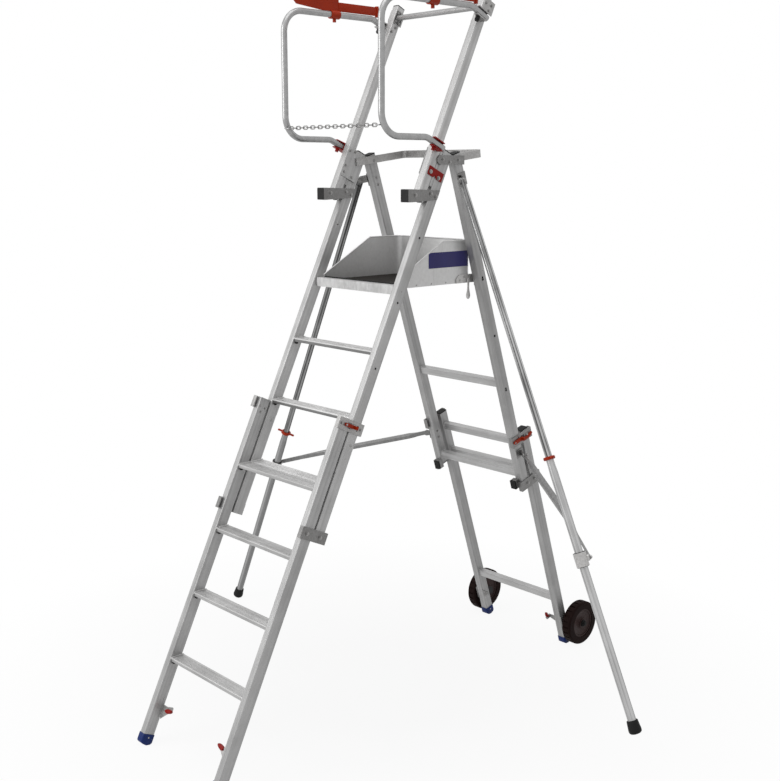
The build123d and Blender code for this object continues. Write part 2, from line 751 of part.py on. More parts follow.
def deck():
    """Flanged deck sheet behind the nosing, stiffened by two channels underneath."""
    y0 = DECK_FRONT + NOSING_D
    half = TUB_HALF - TOE_T
    top = DECK_Z - TOE_LOW
    sheet = block(-half, half, y0, DECK_BACK - TOE_T, top - DECK_T, top)
    sheet = fillet(sheet.edges().filter_by(Axis.Z).group_by(Axis.Y)[-1], TOE_ROUND - TOE_T)
    for x in (-half / 2, half / 2):
        channel = block(x - NOSING_H / 2, x + NOSING_H / 2, y0, DECK_BACK - TOE_T, top - NOSING_H / 2, top - DECK_T)
        sheet += channel - Pos(0, 0, -DECK_T) * block(
            x - NOSING_H / 2 + DECK_T, x + NOSING_H / 2 - DECK_T, y0 - 1, DECK_BACK, top - NOSING_H, top - DECK_T)
    return sheet


def toe_board():
    """One bent sheet round both sides and the back, sloping down to the front edge."""
    y0 = DECK_FRONT + NOSING_D
    low = DECK_Z - NOSING_H / 2
    outer = block(-TUB_HALF, TUB_HALF, y0, DECK_BACK, low, DECK_Z + TOE_H)
    outer = fillet(outer.edges().filter_by(Axis.Z).group_by(Axis.Y)[-1], TOE_ROUND)
    inner = block(-TUB_HALF + TOE_T, TUB_HALF - TOE_T, y0 - 1, DECK_BACK - TOE_T, low - 1, DECK_Z + TOE_H + 1)
    inner = fillet(inner.edges().filter_by(Axis.Z).group_by(Axis.Y)[-1], TOE_ROUND - TOE_T)
    points = ((y0 - 1, DECK_Z + TOE_LOW), (y0 + TOE_SLOPE, DECK_Z + TOE_H + 1), (y0 - 1, DECK_Z + TOE_H + 1))
    return outer - inner - side_plate(points, -HALF, HALF)


def deck_hinge():
    """Lug inside a stile with the pin on which the deck tilts."""
    y, z = DECK_PIVOT
    x1 = HALF - STILE_B
    lug = block(x1 - PLATE_T, x1, y - NOSING_H / 3, y + NOSING_H / 3, z - NOSING_H / 3, z + NOSING_H / 3)
    return lug + rod((x1 - PLATE_T - NOSING_D, y, z), (x1, y, z), DECK_PIVOT_R)


REST_LOW = DECK_Z - NOSING_H / 2
REST_PIN_Z = REST_LOW - REST_PIN_R - TURN_GAP
REST_PIN_Y = leg_y(REST_PIN_Z) + LEG_D / 2


def deck_rest():
    """Plate on the outside of the toe board that lies on the rest pin of a rear leg."""
    y1 = REST_PIN_Y + 2 * REST_PIN_R
    points = (
        (y1 - REST_L, REST_LOW), (y1 - REST_L, REST_LOW + REST_H / 2), (y1 - REST_L + REST_H / 2, REST_LOW + REST_H),
        (y1, REST_LOW + REST_H), (y1, REST_LOW),
    )
    return side_plate(points, TUB_HALF, TUB_HALF + REST_T)


def drop_lever_pivot():
    return REST_PIN_Y - DROP_LEVER_AHEAD, REST_LOW + REST_H / 3


def drop_lever():
    """Drop-shaped lock lever that hangs on the near rest plate."""
    y, z = drop_lever_pivot()
    x0 = TUB_HALF + REST_T + TURN_GAP
    bulb = Pos(0, -DROP_LEVER_H + DROP_LEVER_R) * Circle(DROP_LEVER_R)
    eye = Circle(DROP_LEVER_R * 0.75)
    outline = make_hull((bulb + eye).edges()) - Circle(LEVER_PIN + PIN_GAP)
    return Pos(x0, y, z) * extrude(Plane.YZ * outline, amount=DROP_LEVER_T)


def drop_lever_stud():
    y, z = drop_lever_pivot()
    return rod((TUB_HALF + REST_T, y, z), (TUB_HALF + REST_T + TURN_GAP + DROP_LEVER_T, y, z), LEVER_PIN)


# Rear frame

LEG_FOOT_U = along_legs(DECK_Z - LEG_FOOT)
LOW_LEG_N = LEG_D + LEG_GAP


def leg_head_u():
    """Top of the upper legs, just above their pivot so that it clears the stiles."""
    return along_legs(PIVOT_Z, LEG_D / 2) + LEG_HEAD


def rear_leg():
    u1 = leg_head_u()
    tube = box_tube(LEG_B, LEG_D, LEG_WALL, u1 - LEG_FOOT_U)
    leg = LEGS * Pos(LEG_HALF - LEG_B / 2, LEG_D / 2, LEG_FOOT_U) * tube
    for i in (1, LOCK_HOLES):
        u = rear_guide_u() + GUIDE_H / 2 + i * STEP_PITCH / COS_R
        leg -= LEGS * Pos(LEG_HALF, LEG_D / 2, u) * Rot(0, 90, 0) * Cylinder(LOCK_HOLE / 2, 4 * LEG_WALL)
    return leg - rod((0, PIVOT_Y, PIVOT_Z), (HALF, PIVOT_Y, PIVOT_Z), PIVOT_R + PIN_GAP)


def leg_cap():
    cap = extrude(RectangleRounded(LEG_B, LEG_D, TUBE_ROUND), amount=CAP_T)
    return LEGS * Pos(LEG_HALF - LEG_B / 2, LEG_D / 2, leg_head_u()) * cap


def cross_rail(half, n, u):
    """Box rail between two legs."""
    outline = Rectangle(RAIL_D, RAIL_H) - Rectangle(RAIL_D - 2 * LEG_WALL, RAIL_H - 2 * LEG_WALL)
    return LEGS * Pos(0, n, u) * extrude(Plane.YZ * outline, amount=half, both=True)


def upper_rails():
    n = LEG_D / 2
    rails = [cross_rail(LEG_HALF - LEG_B, n, along_legs(DECK_Z - drop, n)) for drop in UPPER_RAIL_DROPS]
    return Compound(rails)


def low_leg():
    u0 = along_legs(SOLE, LOW_LEG_N)
    u1 = along_legs(DECK_Z - LEG_FOOT + LEG_LAP)
    tube = box_tube(LOW_LEG_B, LOW_LEG_D, LEG_WALL, u1 - u0)
    return LEGS * Pos(LOW_LEG_HALF - LOW_LEG_B / 2, LOW_LEG_N + LOW_LEG_D / 2, u0) * tube


def lower_rails():
    n = LOW_LEG_N + LOW_LEG_D / 2
    head = along_legs(DECK_Z - LEG_FOOT + LEG_LAP)
    places = [head - drop for drop in LOWER_RAIL_DROPS] + [along_legs(BOTTOM_RAIL_Z, n)]
    return Compound([cross_rail(LOW_LEG_HALF - LOW_LEG_B, n, u) for u in places])


def low_leg_cap():
    u = along_legs(DECK_Z - LEG_FOOT + LEG_LAP)
    cap = extrude(RectangleRounded(LOW_LEG_B, LOW_LEG_D, TUBE_ROUND), amount=CAP_T)
    return LEGS * Pos(LOW_LEG_HALF - LOW_LEG_B / 2, LOW_LEG_N + LOW_LEG_D / 2, u) * cap


def stub():
    """Short square tube on the front of an upper leg that carries a plug towards the ladder."""
    outline = Rectangle(STUB_B, STUB_H) - Rectangle(STUB_B - 2 * STUB_WALL, STUB_H - 2 * STUB_WALL)
    return stub_place() * extrude(Plane.XZ * outline, amount=STUB_L)


def stub_place():
    return LEGS * Pos(LEG_HALF - LEG_B / 2 - STUB_IN, 0, LEG_FOOT_U - STUB_DROP + STUB_H / 2)


def rear_guide():
    """Bracket that hangs below the foot of an upper leg and holds the lower leg behind it."""
    shape = guide(LEG_HALF, 0, LOW_LEG_N + LOW_LEG_D, LEG_HALF, 0, LEG_D)
    return LEGS * Pos(0, 0, LEG_FOOT_U - GUIDE_HANG) * shape


def leg_guide():
    """Locking bracket at the head of a lower leg, round the upper leg in front of it."""
    shape = guide(LEG_HALF, 0, LOW_LEG_N + LOW_LEG_D, LOW_LEG_HALF, LOW_LEG_N, LOW_LEG_D)
    shape = locking_guide(shape, LEG_HALF, REAR_STUD_N)
    return LEGS * Pos(0, 0, rear_guide_u()) * shape


def leg_lever():
    return LEGS * Pos(0, 0, rear_guide_u()) * lever(LEG_HALF, REAR_STUD_N)


def stub_plug():
    """Black plug in the end of a stub."""
    return stub_place() * block(-STUB_B / 2, STUB_B / 2, -STUB_L - PLUG_T, -STUB_L, -STUB_H / 2, STUB_H / 2)


def rest_pin():
    """Pin inside a rear leg on which the deck lies."""
    return rod((TUB_HALF + TURN_GAP, REST_PIN_Y, REST_PIN_Z), (LEG_HALF - LEG_B, REST_PIN_Y, REST_PIN_Z), REST_PIN_R)


def rear_foot():
    place = LEGS * Pos(LOW_LEG_HALF - LOW_LEG_B / 2, LOW_LEG_N + LOW_LEG_D / 2, along_legs(SOLE, LOW_LEG_N))
    return on_floor(place * foot_cap(LOW_LEG_B, LOW_LEG_D))


def rear_hook():
    n = LOW_LEG_N + HOOK_T
    return LEGS * Pos(0, 0, along_legs(HOOK_RISE, n)) * foot_hook(LOW_LEG_HALF - LOW_LEG_B, n, -1)


# Wheels

AXLE_Z = WHEEL_R + WHEEL_LIFT
AXLE_Y = leg_y(AXLE_Z) + (LOW_LEG_N + LOW_LEG_D) / COS_R + WHEEL_BACK
WHEEL_X = LOW_LEG_HALF + AXLE_PLATE_T + WHEEL_SIDE_GAP


def wheel_ring(profile):
    """Turn a section about the wheel's axle; the section has its radius along Y."""
    turned = revolve(profile, axis=Axis.X, revolution_arc=360)
    return Pos(WHEEL_X, AXLE_Y, AXLE_Z) * turned


def tyre():
    """Solid rubber tyre with cross cuts round the tread."""
    section = Pos(WHEEL_W / 2, WHEEL_R - TYRE_DEPTH / 2) * Rectangle(WHEEL_W, TYRE_DEPTH)
    section = fillet(section.vertices().group_by(Axis.Y)[-1], TYRE_ROUND)
    ring = revolve(section, axis=Axis.X, revolution_arc=360)
    for i in range(TREAD_CUTS):
        groove = Pos(WHEEL_W / 2, 0, WHEEL_R) * Box(WHEEL_W * 0.6, TREAD_CUT_W, 2 * TREAD_CUT_D)
        ring -= Rot(i * 360 / TREAD_CUTS, 0, 0) * groove
    return Pos(WHEEL_X, AXLE_Y, AXLE_Z) * ring


def hub():
    """Moulded hub: rim, thin web with lightening holes, boss and bore."""
    rim_r = WHEEL_R - TYRE_DEPTH
    rim = Pos(WHEEL_W / 2, rim_r - HUB_RIM / 2) * Rectangle(WHEEL_W - 2 * PLATE_T, HUB_RIM)
    web_h = rim_r - HUB_RIM / 2 - AXLE_R
    web = Pos(WHEEL_W / 2, AXLE_R + web_h / 2) * Rectangle(HUB_WEB, web_h)
    bore = AXLE_R + PIN_GAP
    boss = Pos(WHEEL_W / 2, (bore + HUB_BOSS_R) / 2) * Rectangle(WHEEL_W, HUB_BOSS_R - bore)
    section = rim + web + boss - Pos(WHEEL_W / 2, bore / 2) * Rectangle(2 * WHEEL_W, bore)
    body = revolve(section, axis=Axis.X, revolution_arc=360)
    middle = (HUB_BOSS_R + rim_r - HUB_RIM) / 2
    for i in range(SPOKE_HOLES):
        hole = Pos(WHEEL_W / 2, 0, middle) * Rot(0, 90, 0) * Cylinder(SPOKE_HOLE_R, WHEEL_W)
        body -= Rot(i * 360 / SPOKE_HOLES, 0, 0) * hole
    return Pos(WHEEL_X, AXLE_Y, AXLE_Z) * body


def axle_bracket():
    """Plate on the outside of a lower leg with the stub axle of its wheel."""
    x0 = LOW_LEG_HALF
    n0 = LOW_LEG_N
    z0 = AXLE_Z - 2 * AXLE_R
    z1 = AXLE_Z + 4 * AXLE_R
    leg_front = [leg_y(z) + n0 / COS_R for z in (z0, z1)]
    points = (
        (leg_front[0], z0), (leg_front[1], z1), (leg_front[1] + LOW_LEG_D, z1),
        (AXLE_Y + 2 * AXLE_R, AXLE_Z + AXLE_R), (AXLE_Y + 2 * AXLE_R, z0),
    )
    plate = side_plate(points, x0, x0 + AXLE_PLATE_T)
    axle = rod((x0, AXLE_Y, AXLE_Z), (WHEEL_X + WHEEL_W + PLATE_T, AXLE_Y, AXLE_Z), AXLE_R)
    seat = rod((x0, AXLE_Y, AXLE_Z), (WHEEL_X - TURN_GAP, AXLE_Y, AXLE_Z), 1.6 * AXLE_R)
    washer = rod((WHEEL_X + WHEEL_W + TURN_GAP, AXLE_Y, AXLE_Z),
                 (WHEEL_X + WHEEL_W + PLATE_T, AXLE_Y, AXLE_Z), 1.6 * AXLE_R)
    return plate + axle + seat + washer


# Stabilisers: a frame with x square to the swing plane and z down along the tube

STAB_DOWN = Vector(math.sin(math.radians(STAB_SPREAD)), 0, -math.cos(math.radians(STAB_SPREAD)))
STAB_TOP = (LEGS * Pos(LEG_HALF + STAB_OUT, STAB_TOP_N, along_legs(DECK_Z + STAB_TOP_RISE, STAB_TOP_N))).position
BRACE_TOP = (LEGS * Pos(LEG_HALF + STAB_OUT, BRACE_N, along_legs(DECK_Z - BRACE_DROP, BRACE_N))).position
BRACE_RISE = (BRACE_TOP - STAB_TOP).length
LEG_DOWN = (BRACE_TOP - STAB_TOP).normalized()
STAB_AXIS = STAB_DOWN.cross(LEG_DOWN).normalized()
COLLAR_MID = STAB_TOP + STAB_DOWN * COLLAR_AT
STAB = Plane(STAB_TOP, x_dir=STAB_AXIS, z_dir=STAB_DOWN).location
COLLAR_R = STAB_LOW_R + STAB_FIT + COLLAR_WALL
STAB_OUTWARD = (STAB_DOWN - LEG_DOWN * STAB_DOWN.dot(LEG_DOWN)).normalized()
BRACE_COLLAR_OFF = COLLAR_R + LUG_T + TURN_GAP + BRACE_T / 2


def ring_tube(outer_r, wall, start, end):
    """Round tube along the stabiliser."""
    ring = Circle(outer_r) - Circle(outer_r - wall)
    return STAB * Pos(0, 0, start) * extrude(ring, amount=end - start)


def stab_top_tube():
    """Polished inner tube with an eye at its head."""
    tube = ring_tube(STAB_R, STAB_TUBE_WALL, 2 * STAB_R, STAB_TOP_L)
    eye = Rot(0, 90, 0) * Cylinder(STAB_R, 2 * LUG_T)
    neck = Pos(0, 0, 1.4 * STAB_R) * Box(2 * LUG_T, 2 * STAB_R, 2.8 * STAB_R)
    head = eye + neck - Rot(0, 90, 0) * Cylinder(BRACE_PIN_R + PIN_GAP, 8 * LUG_T)
    return tube + STAB * head


FOOT_REACH = STAB_FOOT_R * math.tan(math.radians(STAB_SPREAD)) + SOLE
FOOT_TIP_R = 0.6 * STAB_FOOT_R


def low_tube_end(raised):
    """Where the lower tube ends, short of the floor by its rubber foot and by how far it is raised."""
    tilt = math.radians(STAB_SPREAD)
    foot_drop = FOOT_REACH * math.cos(tilt) + FOOT_TIP_R * math.sin(tilt)
    return (STAB_TOP.Z - foot_drop) / math.cos(tilt) - raised


def stab_low_tube(raised):
    end = low_tube_end(raised)
    wall = STAB_LOW_R - STAB_R - STAB_FIT
    return ring_tube(STAB_LOW_R, wall, end - STAB_LOW_L, end)


def stab_foot(raised):
    """Rubber foot with a bevelled end over the end of the lower tube."""
    top = SOLE - STAB_FOOT_H
    outline = Polygon((0, top), (STAB_FOOT_R * 0.85, top), (STAB_FOOT_R, 0), (STAB_FOOT_R, FOOT_REACH * 0.4),
                      (FOOT_TIP_R, FOOT_REACH), (0, FOOT_REACH), align=None)
    body = revolve(Plane.XZ * outline, axis=Axis.Z, revolution_arc=360)
    body -= Pos(0, 0, top) * extrude(Circle(STAB_LOW_R), amount=-top)
    return STAB * Pos(0, 0, low_tube_end(raised)) * body


def stab_ring(raised):
    """Red clamp ring with two ears at the head of the lower tube."""
    start = low_tube_end(raised) - STAB_LOW_L
    ring = Circle(STAB_LOW_R + RING_WALL) - Circle(STAB_R + STAB_FIT)
    body = extrude(ring, amount=RING_H)
    body -= Pos(0, 0, RING_H / 2) * extrude(Circle(STAB_LOW_R + PIN_GAP), amount=RING_H)
    root = STAB_LOW_R + RING_WALL / 2
    tip = STAB_LOW_R + RING_WALL + RING_EAR
    ear = block(root, tip, -EAR_T / 2, EAR_T / 2, RING_H * 0.15, RING_H * 0.85)
    ear = fillet(ear.edges().filter_by(Axis.Y), RING_H / 4)
    return STAB * Pos(0, 0, start - RING_H / 2) * Rot(0, 0, 90) * (body + ear + Rot(0, 0, 180) * ear)


def collar():
    """Sliding collar round the lower tube with the lug of the brace."""
    lug = block(0, COLLAR_R + LUG_T, -LUG_R, LUG_R, -LUG_R, LUG_R)
    lug = fillet(lug.edges().filter_by(Axis.X), 0.6 * LUG_R)
    body = Cylinder(COLLAR_R, COLLAR_H) + lug - Cylinder(STAB_LOW_R + STAB_FIT, 2 * COLLAR_H)
    return STAB * Pos(0, 0, COLLAR_AT) * body


def tongue(start, end, offset):
    """Flat end of a brace with round ends, from start to end along it."""
    length = end - start
    outline = Pos(start + length / 2, 0) * SlotOverall(length + BRACE_W, BRACE_W)
    return Pos(0, 0, offset - BRACE_T / 2) * extrude(outline, amount=BRACE_T)


def brace():
    """Box tube that passes behind the stabiliser, with flat tongues for its two pivots."""
    run = COLLAR_MID - BRACE_TOP
    first = Vector(LEG_TONGUE, 0, BRACE_LEG_OFF)
    last = Vector(run.length - COLLAR_TONGUE, 0, BRACE_COLLAR_OFF - BRACE_T / 2 + BRACE_D / 2)
    outline = Rectangle(BRACE_W, BRACE_D) - Rectangle(BRACE_W - 2 * BRACE_WALL, BRACE_D - 2 * BRACE_WALL)
    along = Plane(first, x_dir=(0, 1, 0), z_dir=last - first).location
    body = along * extrude(outline, amount=(last - first).length)
    body += tongue(0, LEG_TONGUE + TONGUE_LAP, BRACE_LEG_OFF)
    body += tongue(run.length - COLLAR_TONGUE - TONGUE_LAP, run.length, BRACE_COLLAR_OFF)
    body -= Pos(0, 0, BRACE_LEG_OFF) * Cylinder(BRACE_PIN_R + PIN_GAP, 2 * BRACE_D)
    return Plane(BRACE_TOP, x_dir=run, z_dir=STAB_AXIS).location * body


def stab_bracket():
    """Clevis on the outside of a rear leg: two cheeks in the swing plane, with their pin."""
    outline = Circle(STAB_R) + Pos(STAB_OUT, 0) * Rectangle(2 * STAB_OUT, 2 * STAB_R)
    cheek = extrude(outline, amount=LUG_T)
    gap = LUG_T + TURN_GAP
    body = rod(STAB_TOP - STAB_AXIS * (gap + LUG_T), STAB_TOP + STAB_AXIS * (gap + LUG_T), BRACE_PIN_R)
    for offset_x in (-gap - LUG_T, gap):
        body += Plane(STAB_TOP + STAB_AXIS * offset_x, x_dir=-STAB_OUTWARD, z_dir=STAB_AXIS).location * cheek
    u = along_legs(STAB_TOP.Z)
    base = LEGS * block(LEG_HALF, LEG_HALF + PLATE_T, 0, LEG_D, u - 2 * STAB_R, u + 2 * STAB_R)
    keep = block(LEG_HALF, 2 * LEG_HALF, 0, 2 * LEG_AT_DECK, 0, 2 * DECK_Z)
    return (body & keep) + base


def brace_bracket():
    """Plate on the outside of a rear leg with a lug and the pin of the brace."""
    u = along_legs(BRACE_TOP.Z)
    half = BRACE_FOOT_H / 2
    base = LEGS * block(LEG_HALF, LEG_HALF + PLATE_T, 0, LEG_D, u - half, u + half)
    outline = Circle(LUG_R) + Pos(STAB_OUT, 0) * Rectangle(2 * STAB_OUT, 2 * LUG_R)
    top = BRACE_LEG_OFF - BRACE_T / 2 - TURN_GAP
    lug = Plane(BRACE_TOP + STAB_AXIS * (top - LUG_T), x_dir=-STAB_OUTWARD, z_dir=STAB_AXIS).location
    lug = lug * extrude(outline, amount=LUG_T)
    keep = block(LEG_HALF, 2 * LEG_HALF, 0, 2 * LEG_AT_DECK, 0, 2 * DECK_Z)
    pin = rod(BRACE_TOP + STAB_AXIS * (top - LUG_T / 2), BRACE_TOP + STAB_AXIS * (top + 2 * BRACE_T), BRACE_PIN_R)
    return base + (lug & keep) + pin


def build():
    """All nodes by name; the climber's right hand is +X."""
    nodes = {}

    def both(name, part):
        nodes[name + "_right"] = part
        nodes[name + "_left"] = left_of(part)

    both("upper_stile", upper_stile())
    both("lower_stile", lower_stile())
    both("guard_post", post())
    both("rear_leg", rear_leg())
    both("lower_leg", low_leg())
    lower_z = [FIRST_TREAD + i * STEP_PITCH for i in range(LOWER_TREADS)]
    upper_z = [LAP_TREAD_Z + i * STEP_PITCH for i in range(UPPER_TREADS)]
    nodes["lower_treads"] = Compound([tread(z, LOWER_N) for z in lower_z])
    nodes["upper_treads"] = Compound([tread(z, 0.0) for z in upper_z])
    nodes["ladder_guides"] = group(upper_guide(), yoke())
    nodes["front_guides"] = group(front_guide(), front_hook())
    nodes["front_feet"] = group(front_foot())
    both("front_lever", front_lever())
    nodes["post_bumpers"] = group(yoke_bumper(), post_cap(), stile_cap())
    nodes["ladder_plates"] = group(gusset(), rail_plate(), deck_hinge())
    nodes["back_rail"] = back_rail()
    nodes["knee_band"] = knee_band()
    nodes["leg_hangers"] = group(hanger())
    nodes["lower_clevises"] = group(clevis(LOW_TAIL_U), post_latch())
    nodes["upper_clevises"] = group(clevis(HIGH_TAIL_U))
    both("guard_loop", loop())
    both("flap", flap())
    nodes["chain"] = chain()
    nodes["deck"] = deck()
    nodes["nosing"] = nosing()
    nodes["toe_board"] = toe_board()
    nodes["deck_rests"] = Compound([deck_rest() + drop_lever_stud(), left_of(deck_rest())])
    nodes["drop_lever"] = drop_lever()
    nodes["rear_plugs"] = group(leg_cap(), stub_plug())
    nodes["upper_rails"] = upper_rails()
    nodes["lower_rails"] = lower_rails()
    nodes["low_leg_caps"] = group(low_leg_cap())
    nodes["rear_guides"] = group(rear_guide(), stub(), rest_pin(), stab_bracket(), brace_bracket())
    nodes["leg_guides"] = group(leg_guide(), rear_hook(), axle_bracket())
    both("leg_lever", leg_lever())
    nodes["rear_feet"] = group(rear_foot())
    both("tyre", tyre())
    both("hub", hub())
    both("stab_tube", stab_top_tube())
    both("collar", collar())
    both("brace", brace())
    for name, maker in (("stab_leg", stab_low_tube), ("stab_foot", stab_foot), ("stab_ring", stab_ring)):
        nodes[name + "_right"] = maker(STAB_RAISED)
        nodes[name + "_left"] = left_of(maker(0.0))
    return nodes


nodes = build()
box = Compound([solid for part in nodes.values() for solid in part.solids()]).bounding_box()
origin = Pos(-box.center().X, -box.center().Y, -box.min.Z)
os.makedirs("parts", exist_ok=True)
for name, part in nodes.items():
    export_step(origin * part, f"parts/{name}.step")
print(len(nodes), "nodes, origin moved by", origin.position, "box", box.size)
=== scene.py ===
# %% [markdown]
# # Rolling work platform
# The object is a telescopic step ladder with a guarded deck, a rear frame on two wheels and
# two side stabilisers. The solids come in as a fixed frame; this file gives them their
# finishes, adds the small hardware, and sets up the picture.

# %% Load the frame
import json
import math
from collections import namedtuple
from itertools import product
import bmesh
import bpy
from mathutils import Matrix, Vector
from mathutils.bvhtree import BVHTree


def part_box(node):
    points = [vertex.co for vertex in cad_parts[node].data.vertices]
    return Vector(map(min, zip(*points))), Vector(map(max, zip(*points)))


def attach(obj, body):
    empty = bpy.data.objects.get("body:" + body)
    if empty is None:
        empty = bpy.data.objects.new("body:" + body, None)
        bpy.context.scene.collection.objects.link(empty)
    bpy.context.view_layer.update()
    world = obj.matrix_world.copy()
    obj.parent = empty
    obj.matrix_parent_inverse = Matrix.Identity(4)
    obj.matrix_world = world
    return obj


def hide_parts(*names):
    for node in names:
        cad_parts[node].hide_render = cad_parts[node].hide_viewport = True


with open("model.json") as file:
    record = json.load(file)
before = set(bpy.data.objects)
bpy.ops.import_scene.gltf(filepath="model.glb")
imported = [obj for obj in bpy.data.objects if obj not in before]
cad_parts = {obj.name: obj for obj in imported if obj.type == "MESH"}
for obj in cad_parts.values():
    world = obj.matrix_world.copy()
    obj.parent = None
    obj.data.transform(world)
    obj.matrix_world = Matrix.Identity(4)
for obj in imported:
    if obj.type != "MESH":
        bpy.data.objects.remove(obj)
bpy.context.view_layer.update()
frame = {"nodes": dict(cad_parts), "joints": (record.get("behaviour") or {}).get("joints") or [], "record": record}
nodes = frame["nodes"]

# %% [markdown]
# ## Places on the object
# Hardware sits on tilted members, so world numbers would be hard to read. Instead two sets of
# local axes are set up, one along the ladder and one along the rear legs. Their slopes come
# from the sliding joints of the frame, and heights are counted from the deck.

# %% Local axes
SIDES = {"left": -1, "right": 1}
joint_of = {joint["name"]: joint for joint in frame["joints"]}


def axis_of(joint):
    return Vector(joint_of[joint]["axis"]).normalized()


def pivot_of(joint):
    return Vector(joint_of[joint]["pos_m"])


across, backwards, upwards = Vector((1, 0, 0)), Vector((0, 1, 0)), Vector((0, 0, 1))
ladder_up = axis_of("front_slide")
leg_up = axis_of("rear_slide")
ladder_back = ladder_up.cross(across)
leg_back = leg_up.cross(across)
LEVEL_AXES = (across, backwards, upwards)
LADDER_AXES = (across, ladder_back, ladder_up)

print("ladder slope", round(math.degrees(math.acos(ladder_up.z)), 1),
      "leg slope", round(math.degrees(math.acos(leg_up.z)), 1))

# %% [markdown]
# ## Points on the members
# A place on a tilted stile is easiest to say as the fitter would measure it: how far to the side,
# how far behind the front face, how far above the deck. Three short functions turn that into a
# point, one for the ladder, one for the legs and one for what stands level.

# %% Points on the members
DECK_INSET = 0.006
LEG_BEHIND = 0.440

edge_low, edge_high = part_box("nosing")
tread_low, tread_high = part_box("upper_treads")
middle_x = (tread_low.x + tread_high.x) / 2
LADDER_ROOT = Vector((middle_x, edge_low.y - DECK_INSET, edge_high.z))
LEG_ROOT = LADDER_ROOT + Vector((0, LEG_BEHIND, 0))


def on_member(root, up, back, x, n, rise):
    """Point n behind the front face of a tilted member, square to it, rise above the deck."""
    return root + across * x + back * n + up * (rise / up.z)


def on_ladder(x, n, rise):
    return on_member(LADDER_ROOT, ladder_up, ladder_back, x, n, rise)


def on_legs(x, n, rise):
    return on_member(LEG_ROOT, leg_up, leg_back, x, n, rise)


def level(x, y, rise):
    """Point y behind the front face of the ladder at the deck, rise above the deck."""
    return LADDER_ROOT + Vector((x, y, rise))


print("deck edge at", [round(c, 3) for c in LADDER_ROOT], "legs from", round(LEG_ROOT.y, 3))

# %% [markdown]
# ## Camera
# A studio camera is fully known by its place, its direction and its lens. It could be tied to
# world numbers, but the origin of the frame is the middle of the whole outline, so the place
# is counted from the middle of the treads and the front edge of the deck instead.

# %% Camera
CAMERA_AWAY = Vector((3.3342, -2.9084, 2.1589))
CAMERA_TURN = math.radians(47.07)
CAMERA_DIP = math.radians(11.02)
FOCAL_PIXELS = 1139.73
IMAGE_WIDTH = 780


def add_object(name, data):
    """New object at the origin of the scene."""
    made = bpy.data.objects.new(name, data)
    bpy.context.scene.collection.objects.link(made)
    return made


camera_data = bpy.data.cameras.new("studio_camera")
camera_data.sensor_fit = "HORIZONTAL"
camera_data.lens = camera_data.sensor_width * FOCAL_PIXELS / IMAGE_WIDTH
camera = add_object("studio_camera", camera_data)
camera.location = Vector((middle_x, edge_low.y, 0)) + CAMERA_AWAY
camera.rotation_euler = (math.pi / 2 - CAMERA_DIP, 0, CAMERA_TURN)
bpy.context.scene.camera = camera
print("camera at", [round(c, 3) for c in camera.location])

# %% [markdown]
# ## Node maths
# Materials and Geometry Nodes are both trees of nodes. Clicking them together by hand is slow
# to read back. One small class wraps a node's output, so that plain Python operators add the
# Math nodes and an expression reads as it would on paper.

# %% Node maths


class Value:
    """A node's output that takes part in Python maths."""

    def __init__(self, tree, socket):
        self.tree = tree
        self.socket = socket

    def maths(self, operation, first, second):
        return self.tree.add("ShaderNodeMath", {"operation": operation}, {0: first, 1: second})

    def __add__(self, other):
        return self.maths("ADD", self, other)

    def __sub__(self, other):
        return self.maths("SUBTRACT", self, other)

    def __rsub__(self, other):
        return self.maths("SUBTRACT", other, self)

    def __mul__(self, other):
        return self.maths("MULTIPLY", self, other)

    def __mod__(self, other):
        return self.maths("MODULO", self, other)

    def __rmod__(self, other):
        return self.maths("MODULO", other, self)

    __radd__ = __add__
    __rmul__ = __mul__


print("values take + - * and %")

# %% [markdown]
# ## Node trees
# A second class stands for a whole tree. One method adds any node from its type, its settings and
# its sockets. A few short ones name what nearly every finish needs: a blend of two colours, a
# mapped range, turned coordinates, noise and bump.

# %% Node trees


class Tree:
    """A node tree of a material, the world or a Geometry Nodes group."""

    def __init__(self, tree):
        self.tree = tree

    def put(self, socket, given):
        for item in given if isinstance(given, list) else [given]:
            if isinstance(item, Value):
                self.tree.links.new(item.socket, socket)
            else:
                socket.default_value = item

    def add(self, kind, settings=None, sockets=None, out=0):
        node = self.tree.nodes.new(kind)
        for name, setting in (settings or {}).items():
            setattr(node, name, setting)
        for name, given in (sockets or {}).items():
            self.put(node.inputs[name], given)
        return Value(self, node.outputs[out]) if node.outputs else None

    def blend(self, factor, first, second):
        """Mix of two colours."""
        return self.add("ShaderNodeMix", {"data_type": "RGBA"}, {0: factor, 6: first, 7: second}, out=2)

    def span(self, value, low, high, start=0.0, end=1.0):
        """Value from low to high, clamped and mapped to start and end."""
        sockets = {"Value": value, "From Min": low, "From Max": high, "To Min": start, "To Max": end}
        return self.add("ShaderNodeMapRange", {"clamp": True}, sockets)

    def place(self, turn=(0, 0, 0), stretch=(1, 1, 1)):
        """Object coordinates turned to a member's slope and stretched along it."""
        coords = self.add("ShaderNodeTexCoord", out="Object")
        sockets = {"Vector": coords, "Rotation": turn, "Scale": stretch}
        return self.add("ShaderNodeMapping", {"vector_type": "TEXTURE"}, sockets)

    def along(self, axis):
        """One of the object coordinates."""
        return self.add("ShaderNodeSeparateXYZ", {}, {"Vector": self.place()}, out=axis)

    def noise(self, vector, scale, detail=2.0):
        return self.add("ShaderNodeTexNoise", {}, {"Vector": vector, "Scale": scale, "Detail": detail})

    def bump(self, height, strength, depth):
        return self.add("ShaderNodeBump", {}, {"Height": height, "Strength": strength, "Distance": depth})


print("node trees ready")

# %% [markdown]
# ## Starting a finish
# Every finish starts from a Principled shader, with the sockets that stay the same set at once.
# What varies over the surface is linked later. The metals are greys with a touch of warmth, so a
# shade and a warmth are enough to name their colours.

# %% Starting a finish


